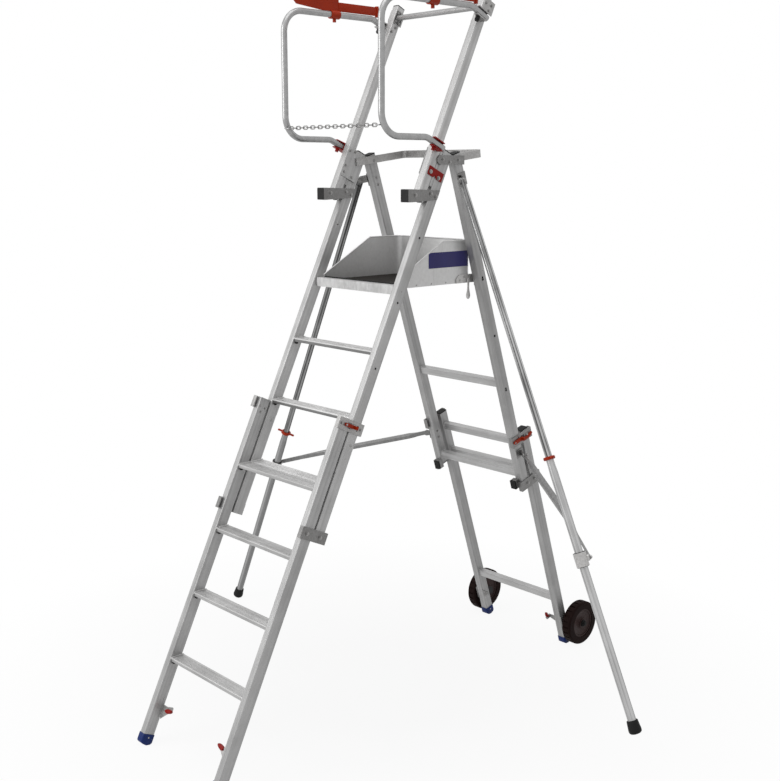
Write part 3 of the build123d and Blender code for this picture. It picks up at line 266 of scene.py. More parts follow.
def new_finish(name, **constants):
    """Material with a Principled shader, its constant sockets set, and its tree."""
    material = bpy.data.materials.new(name)
    material.use_nodes = True
    shader = material.node_tree.nodes["Principled BSDF"]
    for socket, number in constants.items():
        shader.inputs[socket.replace("_", " ")].default_value = number
    return material, Tree(material.node_tree), shader.inputs


def grey(shade, warm=0.0):
    return (shade * (1 + warm), shade, shade * (1 - warm), 1)


print("finishes can start, plain grey is", grey(0.5))

# %% [markdown]
# ## Extruded aluminium
# The stiles, legs, treads and rails are extrusions: satin metal with fine die lines along each
# member, a slow cloudiness, and small marks. An image texture would need unwrapping. Noise that
# is stretched along the member's own slope gives the same lines on any length. The lower part of
# a tread's front lip is painted darker as shade under the nose, found from its height within the step.

# %% Extruded aluminium
STEP_PITCH = 0.235
LIP_FROM = 0.004
LIP_BLUR = 0.002
ABOVE_TOP = 0.100
MARK_STRETCH = (1, 1, 6)


def extrusion(name, turn, stretch, shade, rough=0.40, contrast=1.0, lip=1.0):
    """Satin metal with lines along a member; a lip below 1 paints shade on the lower front of treads."""
    material, tree, sockets = new_finish(name, Metallic=0.42)
    drawn = tree.place(turn, stretch)
    lines = tree.noise(drawn, scale=420.0, detail=3.0)
    streaks = tree.noise(drawn, scale=85.0)
    cloud = tree.noise(tree.place(), scale=8.0, detail=3.0)
    marks = tree.span(tree.noise(tree.place(turn, MARK_STRETCH), scale=90.0, detail=4.0), 0.66, 0.74)
    tone = tree.span(lines * 0.15 + streaks * 0.45 + cloud * 0.40, 0.38, 0.62)
    dark = grey(shade * (1 - 0.20 * contrast), 0.006)
    light = grey(shade * (1 + 0.14 * contrast), 0.004)
    colour = tree.blend(marks * 0.35, tree.blend(tone, dark, light), grey(shade * 0.6))
    # Painted shade: the lower front of each tread's lip is darkened towards black, below the nose.
    if lip < 1.0:
        depth = (LADDER_ROOT.z + ABOVE_TOP - tree.along("Z")) % STEP_PITCH
        painted_lip_shade = tree.span(depth, ABOVE_TOP + LIP_FROM, ABOVE_TOP + LIP_FROM + LIP_BLUR)
        colour = tree.blend(painted_lip_shade * (1 - lip), colour, grey(0.0))
    tree.put(sockets["Base Color"], colour)
    sheen = lines * 0.6 + cloud * 0.4
    tree.put(sockets["Roughness"], tree.span(sheen, 0.3, 0.7, rough - 0.06, rough + 0.08))
    tree.put(sockets["Normal"], tree.bump(lines, strength=0.12, depth=0.0006))
    return material


print("a tread's lip darkens from", LIP_FROM, "m down")

# %% [markdown]
# ## Aluminium of each member
# The lines run the long way of each member: up the stiles, posts, legs and braces, and across on
# treads and rails. One function with a slope, a stretch and a shade gives them all, and with little
# contrast it also gives the plain sheet of the toe board.

# %% Aluminium of each member
LADDER_TURN = (-math.acos(ladder_up.z), 0, 0)
LEG_TURN = (math.acos(leg_up.z), 0, 0)
LONG_UP = (1, 1, 80)
LONG_ACROSS = (80, 1, 1)
stile_metal = extrusion("stile_aluminium", LADDER_TURN, LONG_UP, 0.45)
# The lower stiles take a darker copy of the stile finish, as painted shade.
shaded_low_stile_metal = extrusion("lower_stile_aluminium", LADDER_TURN, LONG_UP, 0.40)
post_metal = extrusion("post_aluminium", LADDER_TURN, LONG_UP, 0.53)
leg_metal = extrusion("leg_aluminium", LEG_TURN, LONG_UP, 0.37)
# Upper treads are a lighter copy as painted light on their tops; lower treads a darker copy as painted shade.
lit_tread_metal = extrusion("tread_aluminium", LADDER_TURN, LONG_ACROSS, 0.64, rough=0.42, lip=0.28)
shaded_low_tread_metal = extrusion("lower_tread_aluminium", LADDER_TURN, LONG_ACROSS, 0.52, rough=0.42, lip=0.86)
brace_metal = extrusion("brace_aluminium", LEG_TURN, LONG_UP, 0.25)
rail_metal = extrusion("rail_aluminium", LEG_TURN, LONG_ACROSS, 0.48)
board_metal = extrusion("toe_board_aluminium", (0, 0, 0), (1, 1, 1), 0.62, rough=0.34, contrast=0.35)
print("aluminium finishes made")

# %% [markdown]
# ## Zinc plate
# Brackets are stamped from steel and zinc plated: a little darker and warmer than aluminium,
# with the patchy crystals of the plating. Noise alone gives clouds and no crystals, so smooth
# Voronoi cells are mixed in.

# %% Zinc plate


def plated(name, shade, rough=0.36, cell=160.0):
    material, tree, sockets = new_finish(name, Metallic=0.6)
    where = tree.place()
    cells = tree.add("ShaderNodeTexVoronoi", {"feature": "SMOOTH_F1"}, {"Vector": where, "Scale": cell})
    cloud = tree.noise(where, scale=22.0, detail=4.0)
    tone = tree.span(cells * 0.5 + cloud * 0.6, 0.3, 0.8)
    tree.put(sockets["Base Color"], tree.blend(tone, grey(shade * 0.78, 0.02), grey(shade * 1.18, 0.01)))
    tree.put(sockets["Roughness"], tree.span(cloud, 0.3, 0.7, rough - 0.08, rough + 0.10))
    tree.put(sockets["Normal"], tree.bump(cloud, strength=0.08, depth=0.0008))
    return material


zinc = plated("zinc_plate", 0.38)
dark_zinc = plated("dark_zinc", 0.22)
light_zinc = plated("light_zinc", 0.52, rough=0.34)
fastener_zinc = plated("fastener_zinc", 0.34, rough=0.28, cell=300.0)
print("zinc finishes made")

# %% [markdown]
# ## Brackets with black ends
# Two of the nodes are zinc brackets and black plastic plugs in one. Two finishes on one node would
# mean sorting its faces, so one finish turns from zinc to black past a place on the object's own Y.

# %% Brackets with black ends
EDGE = 0.0004
YOKE_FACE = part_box("post_bumpers")[0].y + 0.0018
YOKE_REAR = (-0.05, 0.0)
AXLE_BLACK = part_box("leg_guides")[1].y - 0.100


def capped(name, shade, black_of):
    """Zinc that turns to black plastic where black_of, a share along the object's Y, is 1."""
    material, tree, sockets = new_finish(name, Specular_IOR_Level=0.18)
    black = black_of(tree, tree.along("Y"))
    cloud = tree.noise(tree.place(), scale=22.0, detail=4.0)
    metal = tree.blend(cloud, grey(shade * 0.85, 0.02), grey(shade * 1.15, 0.01))
    tree.put(sockets["Base Color"], tree.blend(black, metal, grey(0.010)))
    tree.put(sockets["Metallic"], (1 - black) * 0.6)
    tree.put(sockets["Roughness"], tree.span(cloud, 0.3, 0.7, 0.36, 0.54))
    return material


def yoke_black(tree, y):
    return 1 - tree.span(y, YOKE_FACE, YOKE_FACE + EDGE) * (1 - tree.span(y, *YOKE_REAR))


def axle_end(tree, y):
    return tree.span(y, AXLE_BLACK, AXLE_BLACK + EDGE)


plug_face = capped("yoke_plug", 0.22, yoke_black)
axle_black = capped("axle_bracket", 0.27, axle_end)
print("yokes black before y", round(YOKE_FACE, 4), "axle brackets behind y", round(AXLE_BLACK, 4))

# %% [markdown]
# ## Bright tube
# The guard loops and stabiliser tubes are smooth drawn tube, with faint lines along the loops. On the
# stabilisers the lines are strong dark and light bands of painted reflection, weaker on the sleeves. The
# edges of such a tube look dark, so the specular tint is kept low. The far stabiliser is darker as
# painted shade, for the shade of the ladder it stands in.

# %% Bright tube
EDGE_TINT = 0.25
TUBE_STRETCH = (1, 1, 160)
# The left, far tubes are given a darker colour than the right as painted shade.
TUBE_SHADE = {"left": 0.22, "right": 0.40}
SLEEVE_SHADE = {"left": 0.32, "right": 0.50}


def drawn_tube(name, shade, rough, depth, turn=(0, 0, 0), stretch=(1, 1, 1), line_scale=40.0):
    constants = {"Metallic": 0.5, "Specular_IOR_Level": 0.2, "Specular_Tint": grey(EDGE_TINT)}
    material, tree, sockets = new_finish(name, **constants)
    cloud = tree.noise(tree.place(), scale=9.0, detail=3.0)
    # On the stabilisers these lines are deep dark and light bands, a painted reflection; on the loops they are
    # faint lines.
    lines_and_reflections = tree.noise(tree.place(turn, stretch), line_scale)
    tone = tree.span(cloud * 0.2 + lines_and_reflections * 0.8, 0.41, 0.59)
    tree.put(sockets["Base Color"], tree.blend(tone, grey(shade * (1 - depth)), grey(shade * (1 + depth))))
    tree.put(sockets["Roughness"], tree.span(cloud, 0.3, 0.7, rough - 0.05, rough + 0.07))
    tree.put(sockets["Normal"], tree.bump(lines_and_reflections, strength=0.02, depth=0.0001))
    return material


bright_tube = drawn_tube("bright_tube", 0.40, rough=0.26, depth=0.06)
stab_metal = {}
sleeve_metal = {}
for name in SIDES:
    lean = tuple(axis_of(f"stab_{name}_extend").to_track_quat("Z", "Y").to_euler())
    stab_metal[name] = drawn_tube(f"stabiliser_tube_{name}", TUBE_SHADE[name], rough=0.22, depth=0.72,
                                  turn=lean, stretch=TUBE_STRETCH, line_scale=130.0)
    sleeve_metal[name] = drawn_tube(f"stabiliser_sleeve_{name}", SLEEVE_SHADE[name], rough=0.28, depth=0.24,
                                    turn=lean, stretch=TUBE_STRETCH, line_scale=90.0)
print("tube finishes made")

# %% [markdown]
# ## Paint, plastic and rubber
# The levers, clevises and clip-on pieces are painted orange red, the shoes are blue plastic, the
# plugs and stabiliser feet are black rubber. Each is a dull coat with its own grain: a slight
# orange peel on paint, a spark-eroded grain on plastic, a dusty bloom on rubber.

# %% Paint, plastic and rubber


def coating(name, dark, light, rough, grain, depth, shine=0.18):
    material, tree, sockets = new_finish(name, Specular_IOR_Level=shine)
    where = tree.place()
    fine = tree.noise(where, grain, detail=3.0)
    cloud = tree.noise(where, scale=14.0, detail=3.0)
    tone = tree.span(fine * 0.35 + cloud * 0.65, 0.35, 0.68)
    tree.put(sockets["Base Color"], tree.blend(tone, (*dark, 1), (*light, 1)))
    dull = fine * 0.5 + cloud * 0.5
    tree.put(sockets["Roughness"], tree.span(dull, 0.3, 0.7, rough - 0.08, rough + 0.10))
    tree.put(sockets["Normal"], tree.bump(fine, 0.25, depth))
    return material


clevis_red = coating("clevis_red_paint", (0.220, 0.005, 0.004), (0.310, 0.010, 0.007),
                     rough=0.42, grain=180.0, depth=0.0006)
lever_red = coating("lever_red_paint", (0.320, 0.020, 0.003), (0.420, 0.032, 0.005),
                    rough=0.40, grain=180.0, depth=0.0006)
black_rubber = coating("black_rubber", (0.006, 0.006, 0.006), (0.016, 0.016, 0.016),
                       rough=0.62, grain=420.0, depth=0.0008)
blue_plastic = coating("blue_plastic", (0.006, 0.020, 0.110), (0.010, 0.030, 0.160),
                       rough=0.45, grain=500.0, depth=0.0006)
tyre_rubber = coating("tyre_rubber", (0.008, 0.0035, 0.003), (0.016, 0.0075, 0.0065),
                      rough=0.62, grain=300.0, depth=0.0010, shine=0.06)
hub_plastic = coating("hub_plastic", (0.024, 0.011, 0.010), (0.038, 0.019, 0.017),
                      rough=0.50, grain=420.0, depth=0.0006)
label_film = coating("label_film", (0.040, 0.036, 0.145), (0.050, 0.046, 0.180),
                     rough=0.34, grain=600.0, depth=0.0003)
print("coatings made")

# %% [markdown]
# ## Deck sheet
# The deck is film-faced plywood with a fine woven-mesh print that keeps shoes from slipping.
# The mesh could be modelled, but at under a millimetre deep it is only a bump: two sets of
# wave bands, crossed, whose product is high where two wires of the mesh meet.

# %% Deck sheet
MESH_PITCH = 0.009

deck_film, tree, sockets = new_finish("deck_film", Specular_IOR_Level=0.06)
where = tree.place()
waves = {"Vector": where, "Scale": math.pi / 10 / MESH_PITCH, "Distortion": 0.4}
bands = [tree.add("ShaderNodeTexWave", {"bands_direction": axis}, waves, out="Fac") for axis in ("X", "Y")]
mesh_print = bands[0] * bands[1]
scuff = tree.noise(where, scale=7.0, detail=5.0)
colour = tree.blend(tree.span(scuff, 0.35, 0.7), (0.016, 0.014, 0.012, 1), (0.030, 0.026, 0.024, 1))
tree.put(sockets["Base Color"], tree.blend(mesh_print * 0.3, colour, (0.046, 0.041, 0.038, 1)))
tree.put(sockets["Roughness"], tree.span(scuff, 0.3, 0.7, 0.55, 0.72))
tree.put(sockets["Normal"], tree.bump(mesh_print, strength=0.5, depth=0.001))
print("deck film made, mesh pitch", MESH_PITCH)

# %% [markdown]
# ## Finishes on the solids
# Every solid of the frame takes one of the finishes, also where a rounder piece stands for it later.
# The record names a slot for each node, so most go by slot, and a list by node covers what differs.

# %% Finishes on the solids
by_slot = {
    "aluminium": stile_metal, "zinc_steel": zinc, "bright_tube": bright_tube, "red_paint": lever_red,
    "black_rubber": black_rubber, "blue_plastic": blue_plastic, "tyre": tyre_rubber,
    "grey_plastic": hub_plastic, "dark_deck": deck_film,
}
by_node = {}
for finish, names in (
    (leg_metal, "rear_leg_left rear_leg_right lower_leg_left lower_leg_right"),
    (rail_metal, "upper_rails lower_rails"),
    (lit_tread_metal, "upper_treads"),
    (shaded_low_tread_metal, "lower_treads"),
    (post_metal, "nosing guard_post_left guard_post_right"),
    (board_metal, "toe_board"),
    (shaded_low_stile_metal, "lower_stile_left lower_stile_right"),
    (stile_metal, "ladder_plates"),
    (dark_zinc, "ladder_guides leg_hangers rear_guides chain"),
    (light_zinc, "drop_lever deck_rests collar_left collar_right"),
    (clevis_red, "lower_clevises"),
    (plug_face, "post_bumpers"),
    (axle_black, "leg_guides"),
    (stab_metal["left"], "stab_tube_left"),
    (stab_metal["right"], "stab_tube_right"),
):
    by_node.update(dict.fromkeys(names.split(), finish))
slot_of = {part["node"]: part["material_slot"] for part in frame["record"]["subparts"]}
for name, solid in nodes.items():
    solid.data.materials.clear()
    solid.data.materials.append(by_node.get(name, by_slot[slot_of[name]]))
print("finished", len(nodes), "solids,", len(by_node), "of them by name")

# %% [markdown]
# ## Bolts and rivets
# The brackets are held by hexagon bolts on washers, the toe board and the shoes by dome rivets.
# Modelling each one would repeat the same faces a hundred times, so a Geometry Nodes group sets one
# head on each point of a small cloud, turned to the point's own facing and scaled by its own size.

# %% Starting and ending a group


def head_group(name, sizes):
    """Geometry Nodes group with named sizes; returns the group, its tree and its size values."""
    group = bpy.data.node_groups.new(name, "GeometryNodeTree")
    group.interface.new_socket("Points", in_out="INPUT", socket_type="NodeSocketGeometry")
    for label, size in sizes.items():
        socket = group.interface.new_socket(label, in_out="INPUT", socket_type="NodeSocketFloat")
        socket.default_value = size
    group.interface.new_socket("Material", in_out="INPUT", socket_type="NodeSocketMaterial")
    group.interface.new_socket("Heads", in_out="OUTPUT", socket_type="NodeSocketGeometry")
    tree = Tree(group)
    start = group.nodes.new("NodeGroupInput")
    given = {socket.name: Value(tree, socket) for socket in start.outputs if socket.name}
    return group, tree, given


def finish_heads(tree, given, heads, smooth):
    """Ends a tree: plain faces, shading, finish and output."""
    heads = tree.add("GeometryNodeRealizeInstances", {}, {0: heads})
    heads = tree.add("GeometryNodeSetShadeSmooth", {}, {"Geometry": heads, "Shade Smooth": smooth})
    heads = tree.add("GeometryNodeSetMaterial", {}, {"Geometry": heads, "Material": given["Material"]})
    tree.add("NodeGroupOutput", {}, {"Heads": heads})


print("groups can start")

# %% [markdown]
# ## Heads on points
# Each point carries its facing and its size as attributes, and the group reads them. Real bolts are
# never all turned alike, so each head is also twisted by its number in the list.

# %% Heads on points
TWIST = 0.7


def set_heads(tree, given, head, smooth):
    """Puts a head on every point, turned by its facing and twisted by its number."""
    facing = tree.add("GeometryNodeInputNamedAttribute", {"data_type": "FLOAT_VECTOR"}, {"Name": "facing"})
    size = tree.add("GeometryNodeInputNamedAttribute", {"data_type": "FLOAT"}, {"Name": "size"})
    turn = tree.add("FunctionNodeAlignRotationToVector", {"axis": "Z"}, {"Vector": facing})
    twist = tree.add("ShaderNodeCombineXYZ", {}, {"Z": tree.add("GeometryNodeInputIndex") * TWIST})
    twist = tree.add("FunctionNodeEulerToRotation", {}, {0: twist})
    turn = tree.add("FunctionNodeRotateRotation", {"rotation_space": "LOCAL"}, {0: turn, 1: twist})
    sockets = {"Points": given["Points"], "Instance": head, "Rotation": turn, "Scale": size}
    finish_heads(tree, given, tree.add("GeometryNodeInstanceOnPoints", {}, sockets), smooth)


print("heads twist by", TWIST, "from one to the next")

# %% [markdown]
# ## Bolt and rivet
# A bolt is three discs: a washer, a hexagon and a crown. A rivet is a ball pressed flat. Their sizes
# are named inputs of the groups, so that a size can change without a change to the tree.

# %% Bolt and rivet
BOLT_SIZES = {"Head Radius": 0.0075, "Head Height": 0.005, "Washer Radius": 0.010, "Washer Height": 0.0015}
RIVET_SIZES = {"Dome Radius": 0.006, "Dome Height": 0.0028}


def lifted_disc(tree, sides, radius, height, base):
    disc = tree.add("GeometryNodeMeshCylinder", {}, {"Vertices": sides, "Radius": radius, "Depth": height})
    lift = tree.add("ShaderNodeCombineXYZ", {}, {"Z": base + height * 0.5})
    return tree.add("GeometryNodeTransform", {}, {"Geometry": disc, "Translation": lift})


bolt_group, tree, given = head_group("hexagon_bolts", BOLT_SIZES)
washer = lifted_disc(tree, 20, given["Washer Radius"], given["Washer Height"], given["Washer Height"] * -0.2)
head = lifted_disc(tree, 6, given["Head Radius"], given["Head Height"], given["Washer Height"] * 0.7)
crown = lifted_disc(tree, 12, given["Head Radius"] * 0.55, given["Head Height"] * 0.5, given["Head Height"])
set_heads(tree, given, tree.add("GeometryNodeJoinGeometry", {}, {0: [washer, head, crown]}), False)

rivet_group, tree, given = head_group("dome_rivets", RIVET_SIZES)
dome = tree.add("GeometryNodeMeshUVSphere", {}, {"Segments": 16, "Rings": 8, "Radius": given["Dome Radius"]})
low_share = given["Dome Height"] * (1 / RIVET_SIZES["Dome Radius"])
flat = tree.add("ShaderNodeCombineXYZ", {}, {"X": 1.0, "Y": 1.0, "Z": low_share})
set_heads(tree, given, tree.add("GeometryNodeTransform", {}, {"Geometry": dome, "Scale": flat}), True)
print("head groups:", bolt_group.name, rivet_group.name)

# %% [markdown]
# ## Seating the hardware
# A head that floats or sinks gives a model away at once. Each one is therefore dropped along
# its own facing onto the solid that carries it, by a ray cast, and the run stops if it misses.

# %% Seating
CAST_FROM = 0.25
surfaces = {}


def surface(node):
    if node not in surfaces:
        mesh = nodes[node].data
        corners = [vertex.co for vertex in mesh.vertices]
        surfaces[node] = BVHTree.FromPolygons(corners, [face.vertices[:] for face in mesh.polygons])
    return surfaces[node]


def seat(node, point, facing):
    """Where a ray against the facing first meets a solid."""
    hit = surface(node).ray_cast(point + facing * CAST_FROM, -facing, 2 * CAST_FROM)[0]
    if hit is None:
        raise RuntimeError(f"nothing of {node} under {tuple(round(c, 3) for c in point)}")
    return hit


def settle(piece, body):
    """Makes a piece ride on a body."""
    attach(piece, body)
    print(piece.name, "on", body, "-", len(piece.data.polygons), "faces")


print("seating casts from", CAST_FROM, "m")

# %% [markdown]
# ## Running a group
# A group is run by a modifier on a small start mesh: a cloud of points for heads, rows of edges for
# paths. The export reads plain meshes, so the result is taken over and the modifier is removed.

# %% Running a group


def run_group(group, name, body, finish, start):
    """Runs a Geometry Nodes group on a start mesh and makes the result a plain piece of a body."""
    piece = add_object(name, start)
    modifier = piece.modifiers.new("heads", "NODES")
    modifier.node_group = group
    for socket in group.interface.items_tree:
        if socket.name == "Material":
            modifier[socket.identifier] = finish
    bpy.context.view_layer.update()
    ready = piece.evaluated_get(bpy.context.evaluated_depsgraph_get())
    mesh = bpy.data.meshes.new_from_object(ready)
    piece.modifiers.remove(modifier)
    piece.data = mesh
    settle(piece, body)


def dress(group, name, body, finish, places):
    """Heads on (point, facing, size) places."""
    cloud = bpy.data.meshes.new(name)
    cloud.from_pydata([place[0] for place in places], [], [])
    cloud.attributes.new("facing", "FLOAT_VECTOR", "POINT")
    cloud.attributes.new("size", "FLOAT", "POINT")
    for number, (_, direction, scale) in enumerate(places):
        cloud.attributes["facing"].data[number].vector = direction
        cloud.attributes["size"].data[number].value = scale
    run_group(group, name, body, finish, cloud)


def trace(group, name, body, finish, paths):
    """Welds or a hem along paths, each a list of points."""
    edges = []
    for path in paths:
        first = edges[-1][1] + 1 if edges else 0
        edges += [(first + step, first + step + 1) for step in range(len(path) - 1)]
    lines = bpy.data.meshes.new(name)
    lines.from_pydata([point for path in paths for point in path], edges, [])
    run_group(group, name, body, finish, lines)


print("groups run on points and on paths")

# %% [markdown]
# ## Rows of hardware
# Both sides of the object carry the same hardware. It could be mirrored, but the solids decide where
# a head sits, so each row of heads is listed once and seated on both sides. A row names the body
# that carries it, and one mesh for each body then moves with it.

# %% Rows of hardware
OUT, IN = 1, -1
Row = namedtuple("Row", "body node place half rise facings spots sink", defaults=(0.0,))
bolts = {}
rivets = {}


def place_head(heads, body, node, point, facing, size, sink=0.0):
    spot = seat(node, point, facing) - facing * sink
    heads.setdefault(body, []).append((spot, facing, size))


def place_rows(heads, *rows):
    """Seats the heads of every row on both sides: spots (n, rise), facings (way, size)."""
    for name, side in SIDES.items():
        for row in rows:
            node = row.node.format(name)
            for (n, rise), (way, size) in product(row.spots, row.facings):
                point = row.place(row.half * side, n, row.rise + rise)
                place_head(heads, row.body, node, point, across * (side * way), size, row.sink)


print("a row gives", ", ".join(Row._fields))

# %% [markdown]
# ## Bolts of the ladder
# Bolts hold the level yokes, the guide brackets at the lap, the plates of the leg pivots, the red
# keeper plates and the inner gussets. Each group of bolts has its own rise above the deck, and the
# spots are counted from there, so that a whole bracket's bolts move by one number.

# %% Bolts of the ladder
HALF_WIDTH = 0.260
INNER_HALF = 0.224
LAP_RISE = -0.508
YOKE_RISE = 0.330
PIVOT_RISE = 0.461
KEEPER_RISE = 0.403
PLATE_RISE = 0.400
RAIL_PLATE_RISE = 1.021
UPPER_GUIDE_RISE = -0.8747
FRONT_GUIDE_RISE = -0.4974

place_rows(
    bolts,
    Row("lower_ladder", "lower_stile_{}", on_ladder, HALF_WIDTH, LAP_RISE, [(IN, 0.55)],
        [(-0.046, 0.0), (-0.020, -0.003), (-0.035, -0.020)]),
    Row("ladder", "ladder_guides", level, HALF_WIDTH, YOKE_RISE, [(OUT, 0.85), (IN, 0.75)],
        [(0.084, 0.003), (0.165, 0.006), (0.192, -0.006)]),
    Row("ladder", "leg_hangers", level, HALF_WIDTH, PIVOT_RISE, [(OUT, 0.65)],
        [(0.226, 0.002), (0.264, -0.008), (0.3114, 0.0)]),
    Row("ladder", "lower_clevises", on_ladder, HALF_WIDTH, KEEPER_RISE, [(OUT, 0.8)],
        [(-0.033, 0.001), (0.014, -0.004)]),
    Row("ladder", "ladder_guides", on_ladder, HALF_WIDTH, UPPER_GUIDE_RISE, [(OUT, 0.85)],
        [(-0.040, 0.0), (0.026, 0.0)]),
    Row("lower_ladder", "front_guides", on_ladder, HALF_WIDTH, FRONT_GUIDE_RISE, [(OUT, 0.7)],
        [(-0.052, 0.0), (0.046, 0.0)]),
    Row("ladder", "ladder_plates", on_ladder, INNER_HALF, PLATE_RISE, [(IN, 0.6)],
        [(-0.044, 0.081), (-0.018, 0.086), (-0.042, 0.024), (-0.040, 0.0), (0.006, -0.004)]),
    Row("ladder", "ladder_plates", on_ladder, INNER_HALF, RAIL_PLATE_RISE, [(IN, 0.55)],
        [(-0.0445, 0.016), (-0.0245, 0.018), (-0.0445, -0.017), (-0.0245, -0.018)]),
)
print(len(bolts["ladder"]), "bolts on the ladder,", len(bolts["lower_ladder"]), "on the lower section")

# %% [markdown]
# ## Rivets of stiles and shoes
# Small dome rivets mark where the deck hinge and the stops go through the stiles, and each shoe
# is pinned to its tube. Where the guide brackets slide past, the rivets are sunk flush.

# %% Rivets
HINGE_RISE = 0.216
STOP_RISE = -0.557
CATCH_RIVET_RISE = -1.575
SHOE_RISE = -1.713
REAR_SHOE_N = 0.080
REAR_SHOE_RISE = -1.704 - leg_back.z * REAR_SHOE_N
FLUSH_SINK = 0.00255

place_rows(
    rivets,
    Row("ladder", "upper_stile_{}", on_ladder, HALF_WIDTH, HINGE_RISE, [(OUT, 1.0)],
        [(0.0195, 0.0), (0.024, -0.228)], FLUSH_SINK),
    Row("ladder", "upper_stile_{}", on_ladder, HALF_WIDTH, HINGE_RISE, [(IN, 0.9)], [(0.0215, 0.002)]),
    Row("ladder", "upper_stile_{}", on_ladder, HALF_WIDTH, STOP_RISE, [(OUT, 0.9)], [(0.029, 0.0)]),
    Row("ladder", "upper_stile_{}", on_ladder, HALF_WIDTH, STOP_RISE, [(IN, 0.9)], [(0.027, 0.016)]),
    Row("lower_ladder", "front_feet", on_ladder, HALF_WIDTH, SHOE_RISE, [(IN, 0.6), (OUT, 0.6)],
        [(-0.031, 0.0)]),
    Row("lower_ladder", "lower_stile_{}", on_ladder, HALF_WIDTH, CATCH_RIVET_RISE, [(IN, 0.7)],
        [(-0.020, 0.0)]),
    Row("rear_base", "rear_feet", on_legs, HALF_WIDTH, REAR_SHOE_RISE, [(OUT, 0.6), (IN, 0.6)],
        [(REAR_SHOE_N, 0.0)]),
)
print({body: len(heads) for body, heads in rivets.items()}, "rivets")

# %% [markdown]
# ## Hardware of the rear frame and deck
# The brackets of the stabilisers are bolted through the upper legs, the guide brackets at the lap
# carry two bolts each, and the deck's rest plates and toe board are riveted. Each wheel is held
# by a nut on its stub axle.

# %% Bolts of the rear frame and deck
LEG_MIDDLE = 0.021
REAR_GUIDE_RISE = -0.910
LEG_GUIDE_RISE = -0.708
STAB_RISE = 0.372
BRACE_RISE = -0.765
LEG_PAIR = [(LEG_MIDDLE, -0.015), (LEG_MIDDLE, 0.015)]
AXLE_BEHIND = 1.1182
AXLE_RISE = -1.626
DECK_HALF = 0.212
TOE_RISE = -0.010
TOE_RIVET = 0.55
TOE_BACK = 0.446
TOE_BACK_SPOTS = (-0.14, -0.07, 0.0, 0.07, 0.14)
wheel_nuts = {}

place_rows(
    bolts,
    Row("rear_frame", "rear_guides", on_legs, HALF_WIDTH, REAR_GUIDE_RISE, [(OUT, 0.85)],
        [(0.030, 0.0), (0.074, 0.0)]),
    Row("rear_base", "leg_guides", on_legs, HALF_WIDTH, LEG_GUIDE_RISE, [(OUT, 0.75)],
        [(0.080, 0.0), (0.103, 0.0)]),
    Row("rear_frame", "rear_leg_{}", on_legs, INNER_HALF, STAB_RISE, [(IN, 0.7)], LEG_PAIR),
    Row("rear_frame", "rear_leg_{}", on_legs, INNER_HALF, BRACE_RISE, [(IN, 0.7)], LEG_PAIR),
)
place_rows(
    rivets,
    Row("rear_frame", "rear_leg_{}", on_legs, HALF_WIDTH, 0.0, [(OUT, 0.8)], [(0.033, 0.022)]),
    Row("platform", "deck_rests", level, DECK_HALF, 0.0, [(OUT, 0.8)],
        [(0.374, -0.006), (0.398, 0.007), (0.466, 0.004)]),
    Row("platform", "toe_board", level, DECK_HALF, TOE_RISE, [(OUT, TOE_RIVET)],
        [(0.060, 0.0), (0.140, 0.0), (0.220, 0.0), (0.300, 0.0)]),
)
place_rows(
    wheel_nuts,
    Row("rear_base", "leg_guides", level, HALF_WIDTH, AXLE_RISE, [(OUT, 1.5)], [(AXLE_BEHIND, 0.0)]),
)
for x in TOE_BACK_SPOTS:
    place_head(rivets, "platform", "toe_board", level(x, TOE_BACK, TOE_RISE), backwards, TOE_RIVET)
print(len(bolts["rear_frame"]), "bolts on the rear frame,", len(rivets["platform"]), "rivets on the deck")

# %% [markdown]
# ## Pins of the stabilisers
# A stabiliser swings on a pin through a clevis, and its brace turns on two more. The places and the
# slant of these pins come from the joints of the frame, which is exact on both sides.

# %% Pins of the stabilisers
COLLAR_DOWN = 1.488
PIN_SIZE = 0.85


def linkage(name):
    """Direction of a stabiliser's pins, then its head, the knee of its brace and its collar."""
    pin = axis_of(f"stab_{name}_swing")
    head = pivot_of(f"stab_{name}_swing")
    collar = head + axis_of(f"collar_{name}_slide") * COLLAR_DOWN
    return (pin if pin.y > 0 else -pin), head, pivot_of(f"brace_{name}_turn"), collar


for name in SIDES:
    pin, head, knee, collar = linkage(name)
    for facing in (pin, -pin):
        place_head(bolts, "rear_frame", "rear_guides", head, facing, PIN_SIZE)
    place_head(bolts, "rear_frame", "rear_guides", knee, pin, PIN_SIZE)
    place_head(bolts, f"brace_{name}", f"brace_{name}", collar, pin, PIN_SIZE)
print("stabiliser pins placed")

# %% [markdown]
# ## Making the heads
# Each list becomes one mesh for its body. Bolts and rivets are bright zinc, and the nuts of the
# wheels have black caps.

# %% Making the heads
for body, heads in bolts.items():
    dress(bolt_group, f"{body}_bolts", body, fastener_zinc, heads)
for body, heads in wheel_nuts.items():
    dress(bolt_group, "wheel_nut_caps", body, black_rubber, heads)
for body, heads in rivets.items():
    dress(rivet_group, f"{body}_rivets", body, fastener_zinc, heads)

# %% [markdown]
# ## Weld ripples
# Treads and rails are welded to their stiles, and a weld is a row of overlapping ripples. A tree
# that resamples a path and sets a small bead on each point follows any joint, and a fixed seed
# makes the beads a little uneven in the same way each time.

# %% Weld ripples
WELD_SIZES = {"Ripple Pitch": 0.0024, "Ripple Radius": 0.0021}
RIPPLE_LEAST, RIPPLE_MOST = 0.8, 1.15
RIPPLE_SEED = 7

